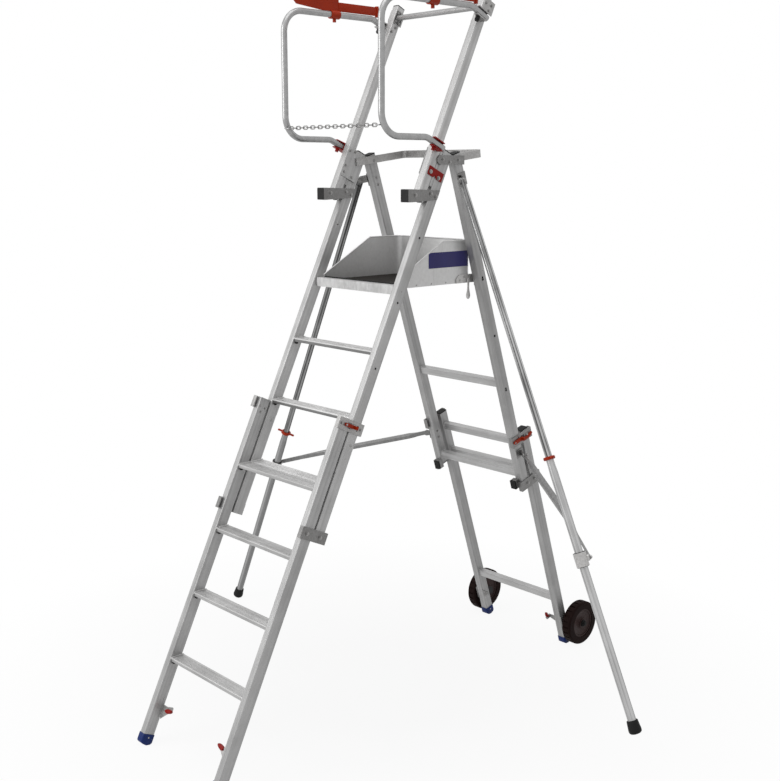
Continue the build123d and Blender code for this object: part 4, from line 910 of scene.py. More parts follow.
weld_group, tree, given = head_group("weld_ripples", WELD_SIZES)
path = tree.add("GeometryNodeMeshToCurve", {}, {0: given["Points"]})
sockets = {"Curve": path, "Length": given["Ripple Pitch"]}
path = tree.add("GeometryNodeResampleCurve", {"mode": "LENGTH"}, sockets)
sockets = {"Segments": 8, "Rings": 5, "Radius": given["Ripple Radius"]}
ripple = tree.add("GeometryNodeMeshUVSphere", {}, sockets)
sockets = {2: RIPPLE_LEAST, 3: RIPPLE_MOST, "Seed": RIPPLE_SEED}
uneven = tree.add("FunctionNodeRandomValue", {"data_type": "FLOAT"}, sockets, out=1)
beads = tree.add("GeometryNodeInstanceOnPoints", {}, {"Points": path, "Instance": ripple, "Scale": uneven})
finish_heads(tree, given, beads, True)
print("weld group:", weld_group.name)

# %% [markdown]
# ## Tread welds
# Every tread is welded to both stiles along its nose and top. A path for each joint is enough,
# because the weld tree does the rest.

# %% Tread welds
STILE_INNER = 0.230
TREAD_BACK = 0.002
TREAD_DEPTH = 0.055
TREAD_HEIGHT = 0.014
NOSE_ROUND = 0.003
WELD_PROUD = 0.0006
LOWER_SETBACK = -0.0545
TREADS = {"upper": ("ladder", (1, 2, 3), 0.0), "lower": ("lower_ladder", (3, 4, 5, 6), LOWER_SETBACK)}


def tread_front(rise, setback):
    """How far behind the ladder's face at the deck a tread's nose lies."""
    return ladder_up.y / ladder_up.z * rise + setback / ladder_up.z + TREAD_BACK


def tread_path(side, rise, setback):
    """Line up the nose and back along the top of a tread, against a stile."""
    y = tread_front(rise, setback)
    corners = ((-WELD_PROUD, -TREAD_HEIGHT), (-WELD_PROUD, -NOSE_ROUND),
               (NOSE_ROUND, WELD_PROUD), (TREAD_DEPTH, WELD_PROUD))
    return [level(STILE_INNER * side, y + behind, rise + lift) for behind, lift in corners]


for label, (body, counts, setback) in TREADS.items():
    paths = [tread_path(side, -STEP_PITCH * count, setback) for side in SIDES.values() for count in counts]
    trace(weld_group, f"{label}_tread_welds", body, lit_tread_metal, paths)

# %% [markdown]
# ## Rail welds
# The rails of the rear frame sit between the legs, so their welds run round the end of each box. One
# closed path for each end is all that the same tree needs.

# %% Rail welds
RAIL_HALF_HEIGHT = 0.015
RAIL_HALF_DEPTH = 0.0125
LOW_LEG_MIDDLE = 0.080
LOW_INNER = 0.223
UPPER_RAIL_RISES = (-0.447, -0.856)
HEAD_RISE = -0.687
LOWER_RAIL_DROPS = (0.066, 0.196)
BOTTOM_RAIL_RISE = -1.494
lower_rail_rises = [HEAD_RISE - drop * leg_up.z + leg_back.z * LOW_LEG_MIDDLE for drop in LOWER_RAIL_DROPS]
RAILS = {
    "upper": ("rear_frame", INNER_HALF, LEG_MIDDLE, UPPER_RAIL_RISES),
    "lower": ("rear_base", LOW_INNER, LOW_LEG_MIDDLE, lower_rail_rises + [BOTTOM_RAIL_RISE]),
}


def rail_path(x, n, rise):
    """Closed line round the end of a box rail, against a leg."""
    middle = on_legs(x, n, rise - leg_back.z * n)
    corners = ((-1, -1), (1, -1), (1, 1), (-1, 1), (-1, -1))
    return [middle + leg_back * (a * RAIL_HALF_DEPTH) + leg_up * (b * RAIL_HALF_HEIGHT) for a, b in corners]


for label, (body, half, n, rises) in RAILS.items():
    paths = [rail_path(half * side, n, rise) for side in SIDES.values() for rise in rises]
    trace(weld_group, f"{label}_rail_welds", body, rail_metal, paths)

# %% [markdown]
# ## Hem of the toe board
# The toe board is a bent sheet, and its free edge is rolled over so that it cannot cut. The hem
# follows that edge, up the sloping front and round the rear corners. A round profile drawn along a
# path gives it in one tree.

# %% Hem of the toe board
HEM_SIZES = {"Hem Radius": 0.0028}
HEM_X = 0.211
HEM_FRONT = 0.032
HEM_SLOPE = 0.250
HEM_LOW = 0.010
HEM_TOP = 0.150
HEM_BACK = 0.445
HEM_ROUND = 0.029
CORNER_STEPS = 8


def hem_side(side):
    """Points up the slope of one side and round its rear corner."""
    points = [level(HEM_X * side, HEM_FRONT, HEM_LOW), level(HEM_X * side, HEM_FRONT + HEM_SLOPE, HEM_TOP)]
    for step in range(CORNER_STEPS + 1):
        turn = math.pi / 2 * step / CORNER_STEPS
        x = (HEM_X - HEM_ROUND + HEM_ROUND * math.cos(turn)) * side
        points.append(level(x, HEM_BACK - HEM_ROUND + HEM_ROUND * math.sin(turn), HEM_TOP))
    return points


hem_group, tree, given = head_group("rolled_hem", HEM_SIZES)
path = tree.add("GeometryNodeMeshToCurve", {}, {0: given["Points"]})
sockets = {"Resolution": 10, "Radius": given["Hem Radius"]}
round_wire = tree.add("GeometryNodeCurvePrimitiveCircle", {}, sockets)
sockets = {"Curve": path, "Profile Curve": round_wire, "Fill Caps": True}
finish_heads(tree, given, tree.add("GeometryNodeCurveToMesh", {}, sockets), True)
hem = hem_side(SIDES["left"]) + hem_side(SIDES["right"])[::-1]
trace(hem_group, "toe_board_hem", "platform", board_metal, [hem])

# %% [markdown]
# ## Shaped small pieces
# A few small parts are turned or moulded rather than repeated. Turned ones could come from a spin,
# which leaves a seam to be merged. Here a skin joins whole rings of points, and a lathe works out
# these rings from a list of distances and radii about any axis.

# %% Skin and lathe


def skin(shape, rings, closed=False):
    """Joins rings of points into a surface; a ring of one point is a pole."""
    made = [[shape.verts.new(corner) for corner in ring] for ring in rings]
    made += made[:1] if closed else []
    sides = max(len(ring) for ring in made)
    for low, high in zip(made, made[1:]):
        for number in range(sides):
            after = (number + 1) % sides
            corners = [low[number % len(low)], low[after % len(low)],
                       high[after % len(high)], high[number % len(high)]]
            shape.faces.new(list(dict.fromkeys(corners)))


def lathe(shape, profile, at, axis, sides=28, closed=False, flat=1.0):
    """Adds a turned form from a list of (along, radius): zero radius at both ends, or a closed ring."""
    first = across if abs(axis.x) < 0.9 else backwards
    first = (first - axis * first.dot(axis)).normalized()
    second = axis.cross(first)
    rings = []
    for along, radius in profile:
        count = sides if radius > 0 else 1
        angles = [2 * math.pi * number / count for number in range(count)]
        rings.append([at + axis * along + first * (radius * flat * math.cos(angle))
                      + second * (radius * math.sin(angle)) for angle in angles])
    skin(shape, rings, closed)


print("skin and lathe ready")

# %% [markdown]
# ## Bars and strips
# Plates and blocks are boxes with rounded edges, set along any three axes. A bent piece is a strip: a
# rounded section, as wide and as high as is asked, that follows a line of points.

# %% Bars and strips
SECTION = ((1, 0.5), (0.6, 1), (-0.6, 1), (-1, 0.5), (-1, -0.5), (-0.6, -1), (0.6, -1), (1, -0.5))


def strip(shape, points, wide, highs, side):
    """Adds a bar with a rounded section along a bent line, with a height at each point."""
    rings = [[points[0]]]
    for number, (point, high) in enumerate(zip(points, highs)):
        run = points[min(number + 1, len(points) - 1)] - points[max(number - 1, 0)]
        rise = run.normalized().cross(side)
        rings.append([point + side * (wide / 2 * a) + rise * (high / 2 * b) for a, b in SECTION])
    skin(shape, rings + [[points[-1]]])


def bar(shape, middle, size, axes, bevel):
    """Adds a box with rounded edges, its sides along three given axes."""
    place = Matrix.Translation(middle) @ Matrix(axes).transposed().to_4x4() @ Matrix.Diagonal(size).to_4x4()
    made = bmesh.ops.create_cube(shape, size=1.0, matrix=place)
    edges = list({edge for corner in made["verts"] for edge in corner.link_edges})
    bmesh.ops.bevel(shape, geom=edges, offset=bevel, segments=3, profile=0.5, affect="EDGES")


print("a strip has", len(SECTION), "sides")

# %% [markdown]
# ## From shape to piece
# A finished shape becomes a mesh with its faces turned outwards and its round faces shaded smooth.
# Only then does it ride on a body. A piece that stands for solids of the frame hides them.

# %% From shape to piece
SHARP_FROM = math.radians(40)


def moulded(shape, name, body, finish, stands_for=()):
    """Turns a finished shape into a piece that rides on a body and may stand for solids."""
    bmesh.ops.recalc_face_normals(shape, faces=shape.faces[:])
    mesh = bpy.data.meshes.new(name)
    shape.to_mesh(mesh)
    shape.free()
    mesh.shade_smooth()
    mesh.set_sharp_from_angle(angle=SHARP_FROM)
    mesh.materials.append(finish)
    piece = add_object(name, mesh)
    settle(piece, body)
    if stands_for:
        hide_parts(*stands_for)


print("edges are sharp from", round(math.degrees(SHARP_FROM)), "degrees")

# %% [markdown]
# ## Label
# A plain navy film label sits on the near side of the toe board. It could be painted into the
# sheet's finish, but a thin film with rounded edges also catches the light as the real one does.

# %% Label
LABEL_Y = (0.205, 0.425)
LABEL_Z = (0.049, 0.110)
LABEL_THICK = 0.0006

label = bmesh.new()
spot = seat("toe_board", level(DECK_HALF, sum(LABEL_Y) / 2, sum(LABEL_Z) / 2), across)
size = (LABEL_THICK, LABEL_Y[1] - LABEL_Y[0], LABEL_Z[1] - LABEL_Z[0])
bar(label, spot + across * (LABEL_THICK / 2), size, LEVEL_AXES, LABEL_THICK * 0.4)
moulded(label, "toe_board_label", "platform", label_film)

# %% [markdown]
# ## Painted shade at the deck edge
# The gap between the deck sheet and its front edge shows as a dark line of shade. That shade is
# painted by a black rubber bar behind the edge; one rounded bar is all it takes.

# %% Painted shade at the deck edge
GAP_SHADE_SIZE = (0.416, 0.0040, 0.0130)
GAP_SHADE_ABOVE = 0.0050
GAP_SHADE_ROUND = 0.0012

# A black bar laid behind the deck edge as painted shade for the gap there.
gap_shade_x = (edge_low.x + edge_high.x) / 2
gap_shade_at = Vector((gap_shade_x, edge_high.y + GAP_SHADE_SIZE[1] / 2, edge_high.z + GAP_SHADE_ABOVE - GAP_SHADE_SIZE[2] / 2))
gap_shade_bar = bmesh.new()
bar(gap_shade_bar, gap_shade_at, GAP_SHADE_SIZE, LEVEL_AXES, GAP_SHADE_ROUND)
moulded(gap_shade_bar, "deck_gap_shade_bar", "platform", black_rubber)

# %% [markdown]
# ## Lever grips
# The rear levers have a long red thumb grip that sags in the middle. It isn't straight, so it is a
# strip along a bent line rather than a box, and it turns with its lever.

# %% Lever grips
GRIP_OUT = 0.0085
GRIP_FROM, GRIP_TO = 0.034, 0.108
GRIP_SAG = 0.010
GRIP_STEPS = 10
GRIP_THICK = 0.009
GRIP_HIGHS = [0.009] + [0.014] * (GRIP_STEPS - 1) + [0.010]

for name, side in SIDES.items():
    grip = bmesh.new()
    stud = pivot_of(f"leg_lever_{name}_turn") + across * (GRIP_OUT * side)
    shares = [step / GRIP_STEPS for step in range(GRIP_STEPS + 1)]
    points = [stud + leg_back * (GRIP_FROM + (GRIP_TO - GRIP_FROM) * share)
              - leg_up * (GRIP_SAG * math.sin(math.pi * share)) for share in shares]
    strip(grip, points, GRIP_THICK, GRIP_HIGHS, across)
    moulded(grip, f"leg_lever_grip_{name}", f"leg_lever_{name}", lever_red)

# %% [markdown]
# ## Catches
# The foot catches end in red moulded tongues, and those of the ladder sit on small folded gussets.
# They too are strips, given by a few points each, with the height of the strip at every point.

# %% Catches
CATCH_RISE = -1.618
CATCH_LIFT = 0.010
CATCH_N = {"left": -0.0125, "right": -0.0320}
TONGUE = ((0.204, 0.000, 0.009), (0.198, 0.001, 0.015), (0.190, 0.002, 0.017), (0.178, 0.005, 0.015),
          (0.170, 0.007, 0.009))
TONGUE_THICK = 0.012
GUSSET = ((0.2305, 0.046), (0.2100, 0.029), (0.1860, 0.012))
GUSSET_TOP = 0.007
GUSSET_THICK = 0.003
REAR_X = 0.194
REAR_N = 0.0635
REAR_TIP = ((0.0640, 0.020, 0.010), (0.0530, 0.021, 0.012), (0.0460, 0.025, 0.013), (0.0430, 0.034, 0.013),
            (0.0425, 0.043, 0.012), (0.0430, 0.047, 0.008))

tongues, gussets, rear_tip = bmesh.new(), bmesh.new(), bmesh.new()
for name, side in SIDES.items():
    at = on_ladder(0, CATCH_N[name], CATCH_RISE) + ladder_up * CATCH_LIFT
    points = [at + across * (x * side) + ladder_up * (GUSSET_TOP - high / 2) for x, high in GUSSET]
    strip(gussets, points, GUSSET_THICK, [high for _, high in GUSSET], ladder_back)
    points = [at + across * (x * side) + ladder_up * lift for x, lift, _ in TONGUE]
    strip(tongues, points, TONGUE_THICK, [high for _, _, high in TONGUE], ladder_back)
foot_catch = on_legs(REAR_X, 0, CATCH_RISE - leg_back.z * REAR_N)
points = [foot_catch + leg_back * n + leg_up * lift for n, lift, _ in REAR_TIP]
strip(rear_tip, points, TONGUE_THICK, [high for _, _, high in REAR_TIP], across)
moulded(tongues, "front_catch_tips", "lower_ladder", clevis_red)
moulded(gussets, "front_catch_gussets", "lower_ladder", light_zinc)
moulded(rear_tip, "rear_catch_tip", "rear_base", clevis_red)

# %% [markdown]
# ## Shoes
# Each tube ends in a blue moulded shoe with a rounded sole, so that it stands well at any slope.
# The shoe is a stack of rounded rectangles. Near the sole their points drop on an arc that touches
# the floor.

# %% Shoes
SHOE_SIDES = 32
SHOE_SQUARE = 0.3
RIM_ROWS = ((0.84, 0.0), (0.97, 0.0), (1.0, 0.0015))
SOLE_ROWS = ((1.0, 0.002), (0.97, 0.0), (0.9, 0.0), (0.72, 0.0), (0.5, 0.0), (0.25, 0.0))
# Body, place and axes of the tube, then x, n, half width, half depth, radius of the sole, top
SHOES = {
    "front": ("lower_ladder", on_ladder, ladder_back, ladder_up, 0.245, -0.031, 0.0180, 0.0265, 0.034, 0.008),
    "rear": ("rear_base", on_legs, leg_back, leg_up, 0.2405, 0.080, 0.0205, 0.0245, 0.030, 0.009),
}


def squared(value):
    return math.copysign(abs(value) ** SHOE_SQUARE, value)


def shoe(shape, middle, back, up, half_x, half_n, arc, top):
    """Adds a shoe whose sole is an arc round its middle point."""
    angles = [2 * math.pi * number / SHOE_SIDES for number in range(SHOE_SIDES)]
    outline = [(half_x * squared(math.cos(a)), half_n * squared(math.sin(a))) for a in angles]
    rings = [[middle + up * top]]
    for scale, drop in RIM_ROWS:
        rings.append([middle + across * (x * scale) + back * (n * scale)
                      + up * (top - drop) for x, n in outline])
    for scale, lift in SOLE_ROWS:
        rings.append([middle + across * (x * scale) + back * (n * scale)
                      - up * (math.sqrt(arc ** 2 - (n * scale) ** 2) - lift) for x, n in outline])
    skin(shape, rings + [[middle - up * arc]])


for label, (body, on_tube, back, up, x, n, half_x, half_n, arc, top) in SHOES.items():
    shoes = bmesh.new()
    for side in SIDES.values():
        middle = on_tube(x * side, n, arc - LADDER_ROOT.z - back.z * n)
        shoe(shoes, middle, back, up, half_x, half_n, arc, top)
    moulded(shoes, f"{label}_shoes", body, blue_plastic, [f"{label}_feet"])

# %% [markdown]
# ## Wheel covers
# The wheels have a closed moulded face, so a shallow dished cover sits over the web of each hub. Its
# section is a closed ring that the lathe turns about the axle, once for each face of the wheel.

# %% Wheel covers
WHEEL_OUT = 0.271
COVER_SIDES = 48
COVER = ((0.0, 0.0225), (0.0, 0.060), (0.004, 0.0605), (0.007, 0.056), (0.0045, 0.050), (0.0045, 0.030),
         (0.009, 0.0255), (0.009, 0.0225))
COVER_PLACES = ((0.034, 1), (0.012, -1))

for name, side in SIDES.items():
    out = across * side
    cover = bmesh.new()
    middle = level(WHEEL_OUT * side, AXLE_BEHIND, AXLE_RISE)
    for depth, way in COVER_PLACES:
        lathe(cover, COVER, middle + out * depth, out * way, COVER_SIDES, closed=True)
    moulded(cover, f"wheel_cover_{name}", f"wheel_{name}", hub_plastic)

# %% [markdown]
# ## Line of a stabiliser
# Tubes, clamp ring, collar and foot of a stabiliser are all turned forms about one axis. Typed places
# would drift apart when a solid changes, so they are read along that axis from the solids.

# %% Line of a stabiliser


def reach(node, head, down):
    """Nearest and furthest of a solid's points along a line."""
    places = [(vertex.co - head).dot(down) for vertex in nodes[node].data.vertices]
    return min(places), max(places)


def tube_line(name):
    """Head of a stabiliser and the direction down its tubes."""
    down = axis_of(f"stab_{name}_extend")
    return pivot_of(f"stab_{name}_swing"), (down if down.z < 0 else -down)


for name in SIDES:
    print("outer tube", name, [round(c, 3) for c in reach(f"stab_leg_{name}", *tube_line(name))])

# %% [markdown]
# ## Stabiliser tubes
# The lower tube of a stabiliser slides over the upper one and narrows to a neck at its mouth. There a
# red clamp ring with two ears holds it. Both have a bore, so their profiles are closed rings.

# %% Stabiliser tubes
TURNED_SIDES = 40
TUBE_R = 0.0156
BORE_R = 0.0134
NECK_R = 0.0142
NECK_LENGTH = 0.030
SHOULDER = 0.055
LOOSE = 0.0003
CLAMP = ((-0.0065, BORE_R), (-0.0065, 0.0195), (-0.0040, 0.0222), (0.0035, 0.0222), (0.0060, 0.0195),
         (0.0060, NECK_R + LOOSE), (-0.0005, NECK_R + LOOSE), (-0.0005, BORE_R))
EAR_SIZE = (0.022, 0.009, 0.0085)
EAR_OUT = 0.030
EAR_ROUND = 0.003

for name in SIDES:
    head, down = tube_line(name)
    leg, ring = f"stab_leg_{name}", f"stab_ring_{name}"
    start, end = reach(leg, head, down)
    tube = bmesh.new()
    profile = ((start, BORE_R), (start, NECK_R), (start + NECK_LENGTH, NECK_R), (start + SHOULDER, TUBE_R),
               (end, TUBE_R), (end, BORE_R))
    lathe(tube, profile, head, down, TURNED_SIDES, closed=True)
    moulded(tube, f"stab_outer_tube_{name}", leg, sleeve_metal[name], [leg])

    clamp = bmesh.new()
    mouth = head + down * start
    lathe(clamp, CLAMP, mouth, down, TURNED_SIDES, closed=True)
    rays = [vertex.co - head for vertex in nodes[ring].data.vertices]
    ear = max((ray - down * ray.dot(down) for ray in rays), key=lambda spoke: spoke.length).normalized()
    for way in (1, -1):
        bar(clamp, mouth + ear * (EAR_OUT * way), EAR_SIZE, (ear, down.cross(ear), down), EAR_ROUND)
    moulded(clamp, f"clamp_ring_{name}", ring, lever_red, [ring])

# %% [markdown]
# ## Bushes and ferrules
# A sliding collar carries the brace. It runs on a bush that shows as a thin black lip at both ends.
# The foot is a rubber ferrule, scaled a little so that its rounded sole comes down exactly as far as
# the solid foot does.

# %% Bushes and ferrules
BUSH_LIP = 0.0016
BUSH_R = 0.0222
BUSH_CORE_R = 0.0188
FERRULE = ((0.0, 0.0), (0.0, 0.0178), (0.0015, 0.0188), (0.0200, 0.0206), (0.0300, 0.0217), (0.0350, 0.0216),
           (0.0390, 0.0203), (0.0422, 0.0172), (0.0440, 0.0125), (0.0448, 0.0065), (0.0450, 0.0))

for name in SIDES:
    head, down = tube_line(name)
    start, end = reach(f"collar_{name}", head, down)
    low, high = start - BUSH_LIP, end + BUSH_LIP
    profile = ((low, TUBE_R + LOOSE), (low, BUSH_R), (start, BUSH_R), (start, BUSH_CORE_R),
               (end, BUSH_CORE_R), (end, BUSH_R), (high, BUSH_R), (high, TUBE_R + LOOSE))
    bush = bmesh.new()
    lathe(bush, profile, head, down, TURNED_SIDES, closed=True)
    moulded(bush, f"collar_bush_{name}", f"collar_{name}", black_rubber)

    node = f"stab_foot_{name}"
    foot = head + down * reach(node, head, down)[0]
    steep, slant = -down.z, math.sqrt(1 - down.z ** 2)
    depth = max(along * steep + radius * slant for along, radius in FERRULE)
    fit = (foot.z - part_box(node)[0].z) / depth
    ferrule = bmesh.new()
    lathe(ferrule, [(along * fit, radius * fit) for along, radius in FERRULE], foot, down, TURNED_SIDES)
    moulded(ferrule, f"stab_ferrule_{name}", f"stab_leg_{name}", black_rubber, [node])
    print("ferrule", name, "scaled by", round(fit, 3))

# %% [markdown]
# ## Braces
# A brace is a box tube pressed flat at both ends for its pivots, with a long taper where it passes
# behind the stabiliser. Pressing makes the section change slowly along the tube, so the brace is
# a skin over a row of sections: how far along, half the width, and the near and far face.

# %% Braces
BRACE_ROWS = (
    (-0.0088, 0.0025, 0.0052, 0.0108), (-0.0062, 0.0065, 0.0050, 0.0110), (0.0, 0.0090, 0.0050, 0.0110),
    (0.046, 0.0092, 0.0050, 0.0110), (0.060, 0.0094, 0.0010, 0.0150), (0.085, 0.0090, -0.0029, 0.0228),
    (0.400, 0.0090, 0.0156, 0.0416), (0.470, 0.0092, 0.0198, 0.0412), (0.560, 0.0096, 0.0251, 0.0388),
    (0.640, 0.0094, 0.0295, 0.0358), (0.765, 0.0090, 0.0295, 0.0355), (0.7712, 0.0065, 0.0295, 0.0355),
    (0.7738, 0.0025, 0.0297, 0.0353),
)
BRACE_SECTION = ((1, 0.8), (0.8, 1), (-0.8, 1), (-1, 0.8), (-1, -0.8), (-0.8, -1), (0.8, -1), (1, -0.8))

for name in SIDES:
    pin, _, knee, collar = linkage(name)
    along = (collar - knee).normalized()
    wide = pin.cross(along)
    rings = []
    for far, half, low, high in BRACE_ROWS:
        middle = knee + along * far + pin * ((low + high) / 2)
        rings.append([middle + wide * (half * a) + pin * ((high - low) / 2 * b) for a, b in BRACE_SECTION])
    pressed = bmesh.new()
    caps = [[sum(ring, Vector()) / len(ring)] for ring in (rings[0], rings[-1])]
    skin(pressed, caps[:1] + rings + caps[1:])
    moulded(pressed, f"pressed_brace_{name}", f"brace_{name}", brace_metal, [f"brace_{name}"])

# %% [markdown]
# ## Packers and plugs
# Packing strips close the gap between each post and its stile. Black plugs sit in the lock holes of
# the rear legs and under the nose at the ends of the treads.

# %% Packers and plugs
PACKER_SIZE = (0.0285, 0.0136, 0.140)
PACKER_AT = (0.2445, -0.0072, 0.424)
HOLE_N = 0.020
HOLE_RISES = (-0.011, -0.246, -0.481)
PLUG = ((-0.0010, 0.0), (-0.0010, 0.0052), (0.0004, 0.0052), (0.0010, 0.0040), (0.0012, 0.0))
END_PLUG_SIZE = (0.010, 0.010, 0.009)
END_PLUG_AT = (0.2235, 0.007, -0.0195)

packers, hole_plugs = bmesh.new(), bmesh.new()
for side in SIDES.values():
    x, n, rise = PACKER_AT
    bar(packers, on_ladder(x * side, n, rise), PACKER_SIZE, LADDER_AXES, bevel=0.001)
    for rise in HOLE_RISES:
        lathe(hole_plugs, PLUG, on_legs(HALF_WIDTH * side, HOLE_N, rise), across * side, sides=16)
moulded(packers, "post_packers", "ladder", stile_metal)
moulded(hole_plugs, "leg_hole_plugs", "rear_frame", black_rubber)
for body, counts, setback in TREADS.values():
    end_plugs = bmesh.new()
    x, behind, lift = END_PLUG_AT
    for side, count in product(SIDES.values(), counts):
        rise = -STEP_PITCH * count
        spot = level(x * side, tread_front(rise, setback) + behind, rise + lift)
        bar(end_plugs, spot, END_PLUG_SIZE, LEVEL_AXES, bevel=0.002)
    moulded(end_plugs, f"{body}_tread_plugs", body, black_rubber)

# %% [markdown]
# ## Post heads
# Bolted plates close the heads of the posts on the outside and the inside, above black knobs on the
# pins of the loops. The inner plate is set against the post's own face, which a ray cast finds.

# %% Post heads
HEAD_PLATE = (0.004, 0.058, 0.052)
HEAD_PLATE_AT = (0.2624, -0.023, 1.025)
HEAD_BOLT_X = 0.2643
HEAD_BOLT_SIZE = 0.7
HEAD_BOLTS = ((-0.016, 1.012), (-0.010, 1.034), (-0.040, 1.030))
INNER_PLATE = (0.003, 0.046, 0.056)
INNER_PLATE_N = -0.031
INNER_PLATE_RISE = 1.020
INNER_BOLT_SIZE = 0.6
INNER_BOLTS = ((-0.020, 1.036), (-0.040, 1.014), (-0.030, 0.984), (-0.044, 0.962))
POST_MIDDLE = (0.245, -0.030)
KNOB = ((-0.001, 0.0), (-0.001, 0.0082), (0.004, 0.0092), (0.016, 0.0092), (0.0195, 0.0070), (0.0205, 0.0))
LOOP_AT = (0.276, -0.0705, 0.9772)
KNOB_DROP = 0.0165

plates, knobs = bmesh.new(), bmesh.new()
head_bolts = []
for name, side in SIDES.items():
    out = across * side
    x, n = POST_MIDDLE
    inside = seat(f"guard_post_{name}", on_ladder(x * side, n, INNER_PLATE_RISE), -out).x
    middle = on_ladder(0, INNER_PLATE_N, INNER_PLATE_RISE)
    middle.x = inside - side * INNER_PLATE[0] / 2
    bar(plates, middle, INNER_PLATE, LADDER_AXES, bevel=0.001)
    for n, rise in INNER_BOLTS:
        spot = on_ladder(0, n, rise)
        spot.x = inside - side * INNER_PLATE[0]
        head_bolts.append((spot, -out, INNER_BOLT_SIZE))
    x, n, rise = HEAD_PLATE_AT
    bar(plates, on_ladder(x * side, n, rise), HEAD_PLATE, LADDER_AXES, bevel=0.0012)
    head_bolts += [(on_ladder(HEAD_BOLT_X * side, n, rise), out, HEAD_BOLT_SIZE) for n, rise in HEAD_BOLTS]
    x, n, rise = LOOP_AT
    lathe(knobs, KNOB, on_ladder(x * side, n, rise) - ladder_up * KNOB_DROP, -ladder_up, sides=20)
moulded(plates, "post_head_plates", "ladder", zinc)
moulded(knobs, "loop_pin_knobs", "ladder", black_rubber)
dress(bolt_group, "post_head_bolts", "ladder", fastener_zinc, head_bolts)

# %% [markdown]
# ## Clip-on arms
# The red piece on each top rail carries a flat arm with an upright block at its end. Both are plain
# bars, joined in one piece that moves with the guard loop.

# %% Clip-on arms
CLIP_AT = (0.276, 0.154, 1.028)
ARM = (0.020, 0.228, 0.0140, 0.0485)
ARM_THICK = 0.008
BLOCK_SIZE = (0.014, 0.012, 0.044)
BLOCK_LIFT = 0.030

x, y, rise = CLIP_AT
near, far, low, high = ARM
for name, side in SIDES.items():
    arm = bmesh.new()
    middle = level(x * side, y + (near + far) / 2, rise + (low + high) / 2)
    bar(arm, middle, (ARM_THICK, far - near, high - low), LEVEL_AXES, bevel=0.0015)
    bar(arm, level(x * side, y + far, rise + BLOCK_LIFT), BLOCK_SIZE, LEVEL_AXES, bevel=0.002)
    moulded(arm, f"clip_arm_{name}", f"guard_{name}", lever_red)

# %% [markdown]
# ## Drop lever
# The deck is locked by a hanging drop-shaped lever, cast in one piece. A turned form, flattened to
# little more than a quarter, comes close to a casting with fewer values than a modelled outline.

# %% Drop lever
DROP = ((-0.008, 0.0), (-0.0075, 0.0040), (-0.004, 0.0070), (0.002, 0.0074), (0.012, 0.0058), (0.030, 0.0054),
        (0.044, 0.0075), (0.056, 0.0108), (0.064, 0.0116), (0.071, 0.0100), (0.0755, 0.0052), (0.077, 0.0))
DROP_FLAT = 0.28

drop = bmesh.new()
pivot = pivot_of("drop_lever_turn")
drop_low, drop_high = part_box("drop_lever")
pivot.x = (drop_low.x + drop_high.x) / 2
lathe(drop, DROP, pivot, -upwards, sides=24, flat=DROP_FLAT)
moulded(drop, "deck_drop_lever", "drop_lever", light_zinc, ["drop_lever"])

# %% [markdown]
# ## Floor
# The picture is a plain studio one on white ground. The floor takes a shade under the object and
# fades to plain white further out, so that no horizon shows. A curved backdrop would do the same,
# but it would also throw light on the object.

# %% Floor
FLOOR_HALF = 14.0
FLOOR_SHADE = 0.72
FADE_FROM = 0.4
FADE_TO = 2.0
FADE_LEAST = 0.88
SEEING = ("Camera", "Glossy", "Transmission")


def seen_rays(tree):
    """1 for the rays that are to see plain white."""
    rays = [tree.add("ShaderNodeLightPath", out=f"Is {kind} Ray") for kind in SEEING]
    return tree.span(rays[0] + rays[1] + rays[2], 0.0, 1.0)


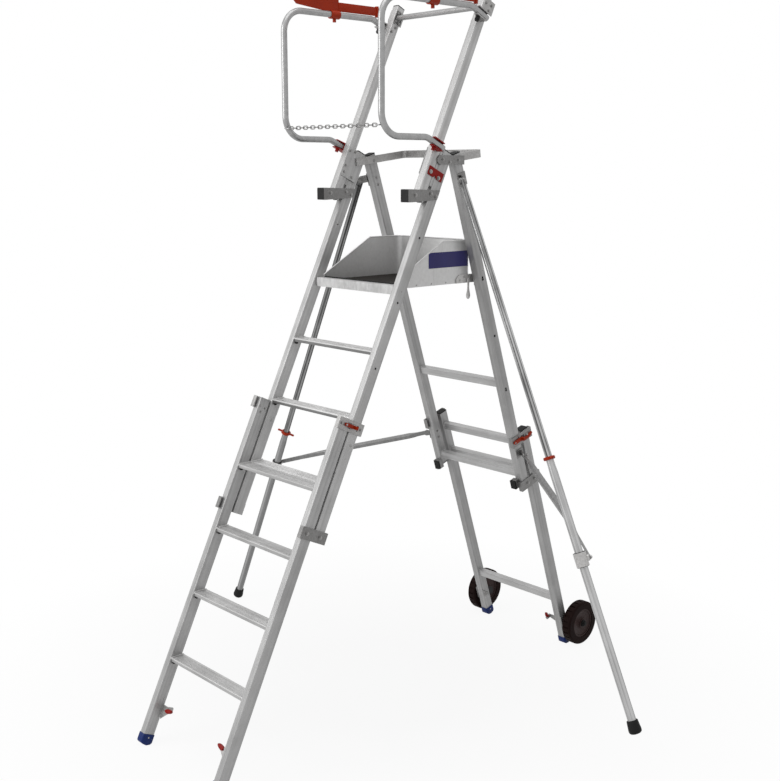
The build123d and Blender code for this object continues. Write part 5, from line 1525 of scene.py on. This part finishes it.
floor_mesh = bpy.data.meshes.new("floor")
corners = [(a * FLOOR_HALF, b * FLOOR_HALF, 0) for a, b in ((-1, -1), (1, -1), (1, 1), (-1, 1))]
floor_mesh.from_pydata(corners, [], [(0, 1, 2, 3)])
floor_white = bpy.data.materials.new("floor_white")
floor_white.use_nodes = True
floor_white.node_tree.nodes.clear()
tree = Tree(floor_white.node_tree)
lit = tree.add("ShaderNodeBsdfDiffuse", {}, {"Color": grey(FLOOR_SHADE)})
plain = tree.add("ShaderNodeEmission", {}, {"Color": grey(1.0), "Strength": 1.0})
distance = tree.add("ShaderNodeVectorMath", {"operation": "LENGTH"}, {0: tree.place()}, out="Value")
fade = tree.span(distance, FADE_FROM, FADE_TO, FADE_LEAST) * seen_rays(tree)
ground = tree.add("ShaderNodeMixShader", {}, {0: fade, 1: lit, 2: plain})
tree.add("ShaderNodeOutputMaterial", {}, {"Surface": ground})
floor_mesh.materials.append(floor_white)
add_object("floor", floor_mesh)
print("floor fades from", FADE_FROM, "to", FADE_TO, "m")

# %% [markdown]
# ## Sky
# What the camera sees beyond the floor is white, and so is what shows in polished metal. The light
# that the sky throws on the object is weaker, so that the lamps can model its faces.

# %% Sky
SKY_FILL = 0.44

world = bpy.data.worlds.new("studio")
bpy.context.scene.world = world
world.use_nodes = True
world.node_tree.nodes.clear()
tree = Tree(world.node_tree)
sky = tree.blend(seen_rays(tree), grey(SKY_FILL), grey(1.0))
sky = tree.add("ShaderNodeBackground", {}, {"Color": sky, "Strength": 1.0})
tree.add("ShaderNodeOutputWorld", {}, {"Surface": sky})
print("sky fill", SKY_FILL)

# %% [markdown]
# ## Lamps
# A large soft box at the front left makes the faces towards the climber bright and leaves the right
# sides grey. A weaker one overhead lights the tops of treads and rails.

# %% Lamps
LAMP_SIZE = 3.4
KEY_POWER = 130.0
TOP_POWER = 62.0


def soft_box(name, at, towards, power):
    lamp = bpy.data.lights.new(name, "AREA")
    lamp.shape = "SQUARE"
    lamp.size = LAMP_SIZE
    lamp.energy = power
    box = add_object(name, lamp)
    box.location = at
    box.rotation_euler = (Vector(towards) - Vector(at)).to_track_quat("-Z", "Y").to_euler()


soft_box("key_light", at=(-1.8, -4.6, 3.4), towards=(0, 0, 1.2), power=KEY_POWER)
soft_box("top_light", at=(0.4, -0.6, 5.5), towards=(0, 0, 1.0), power=TOP_POWER)
bpy.context.scene.view_settings.view_transform = "Standard"
print("studio set")
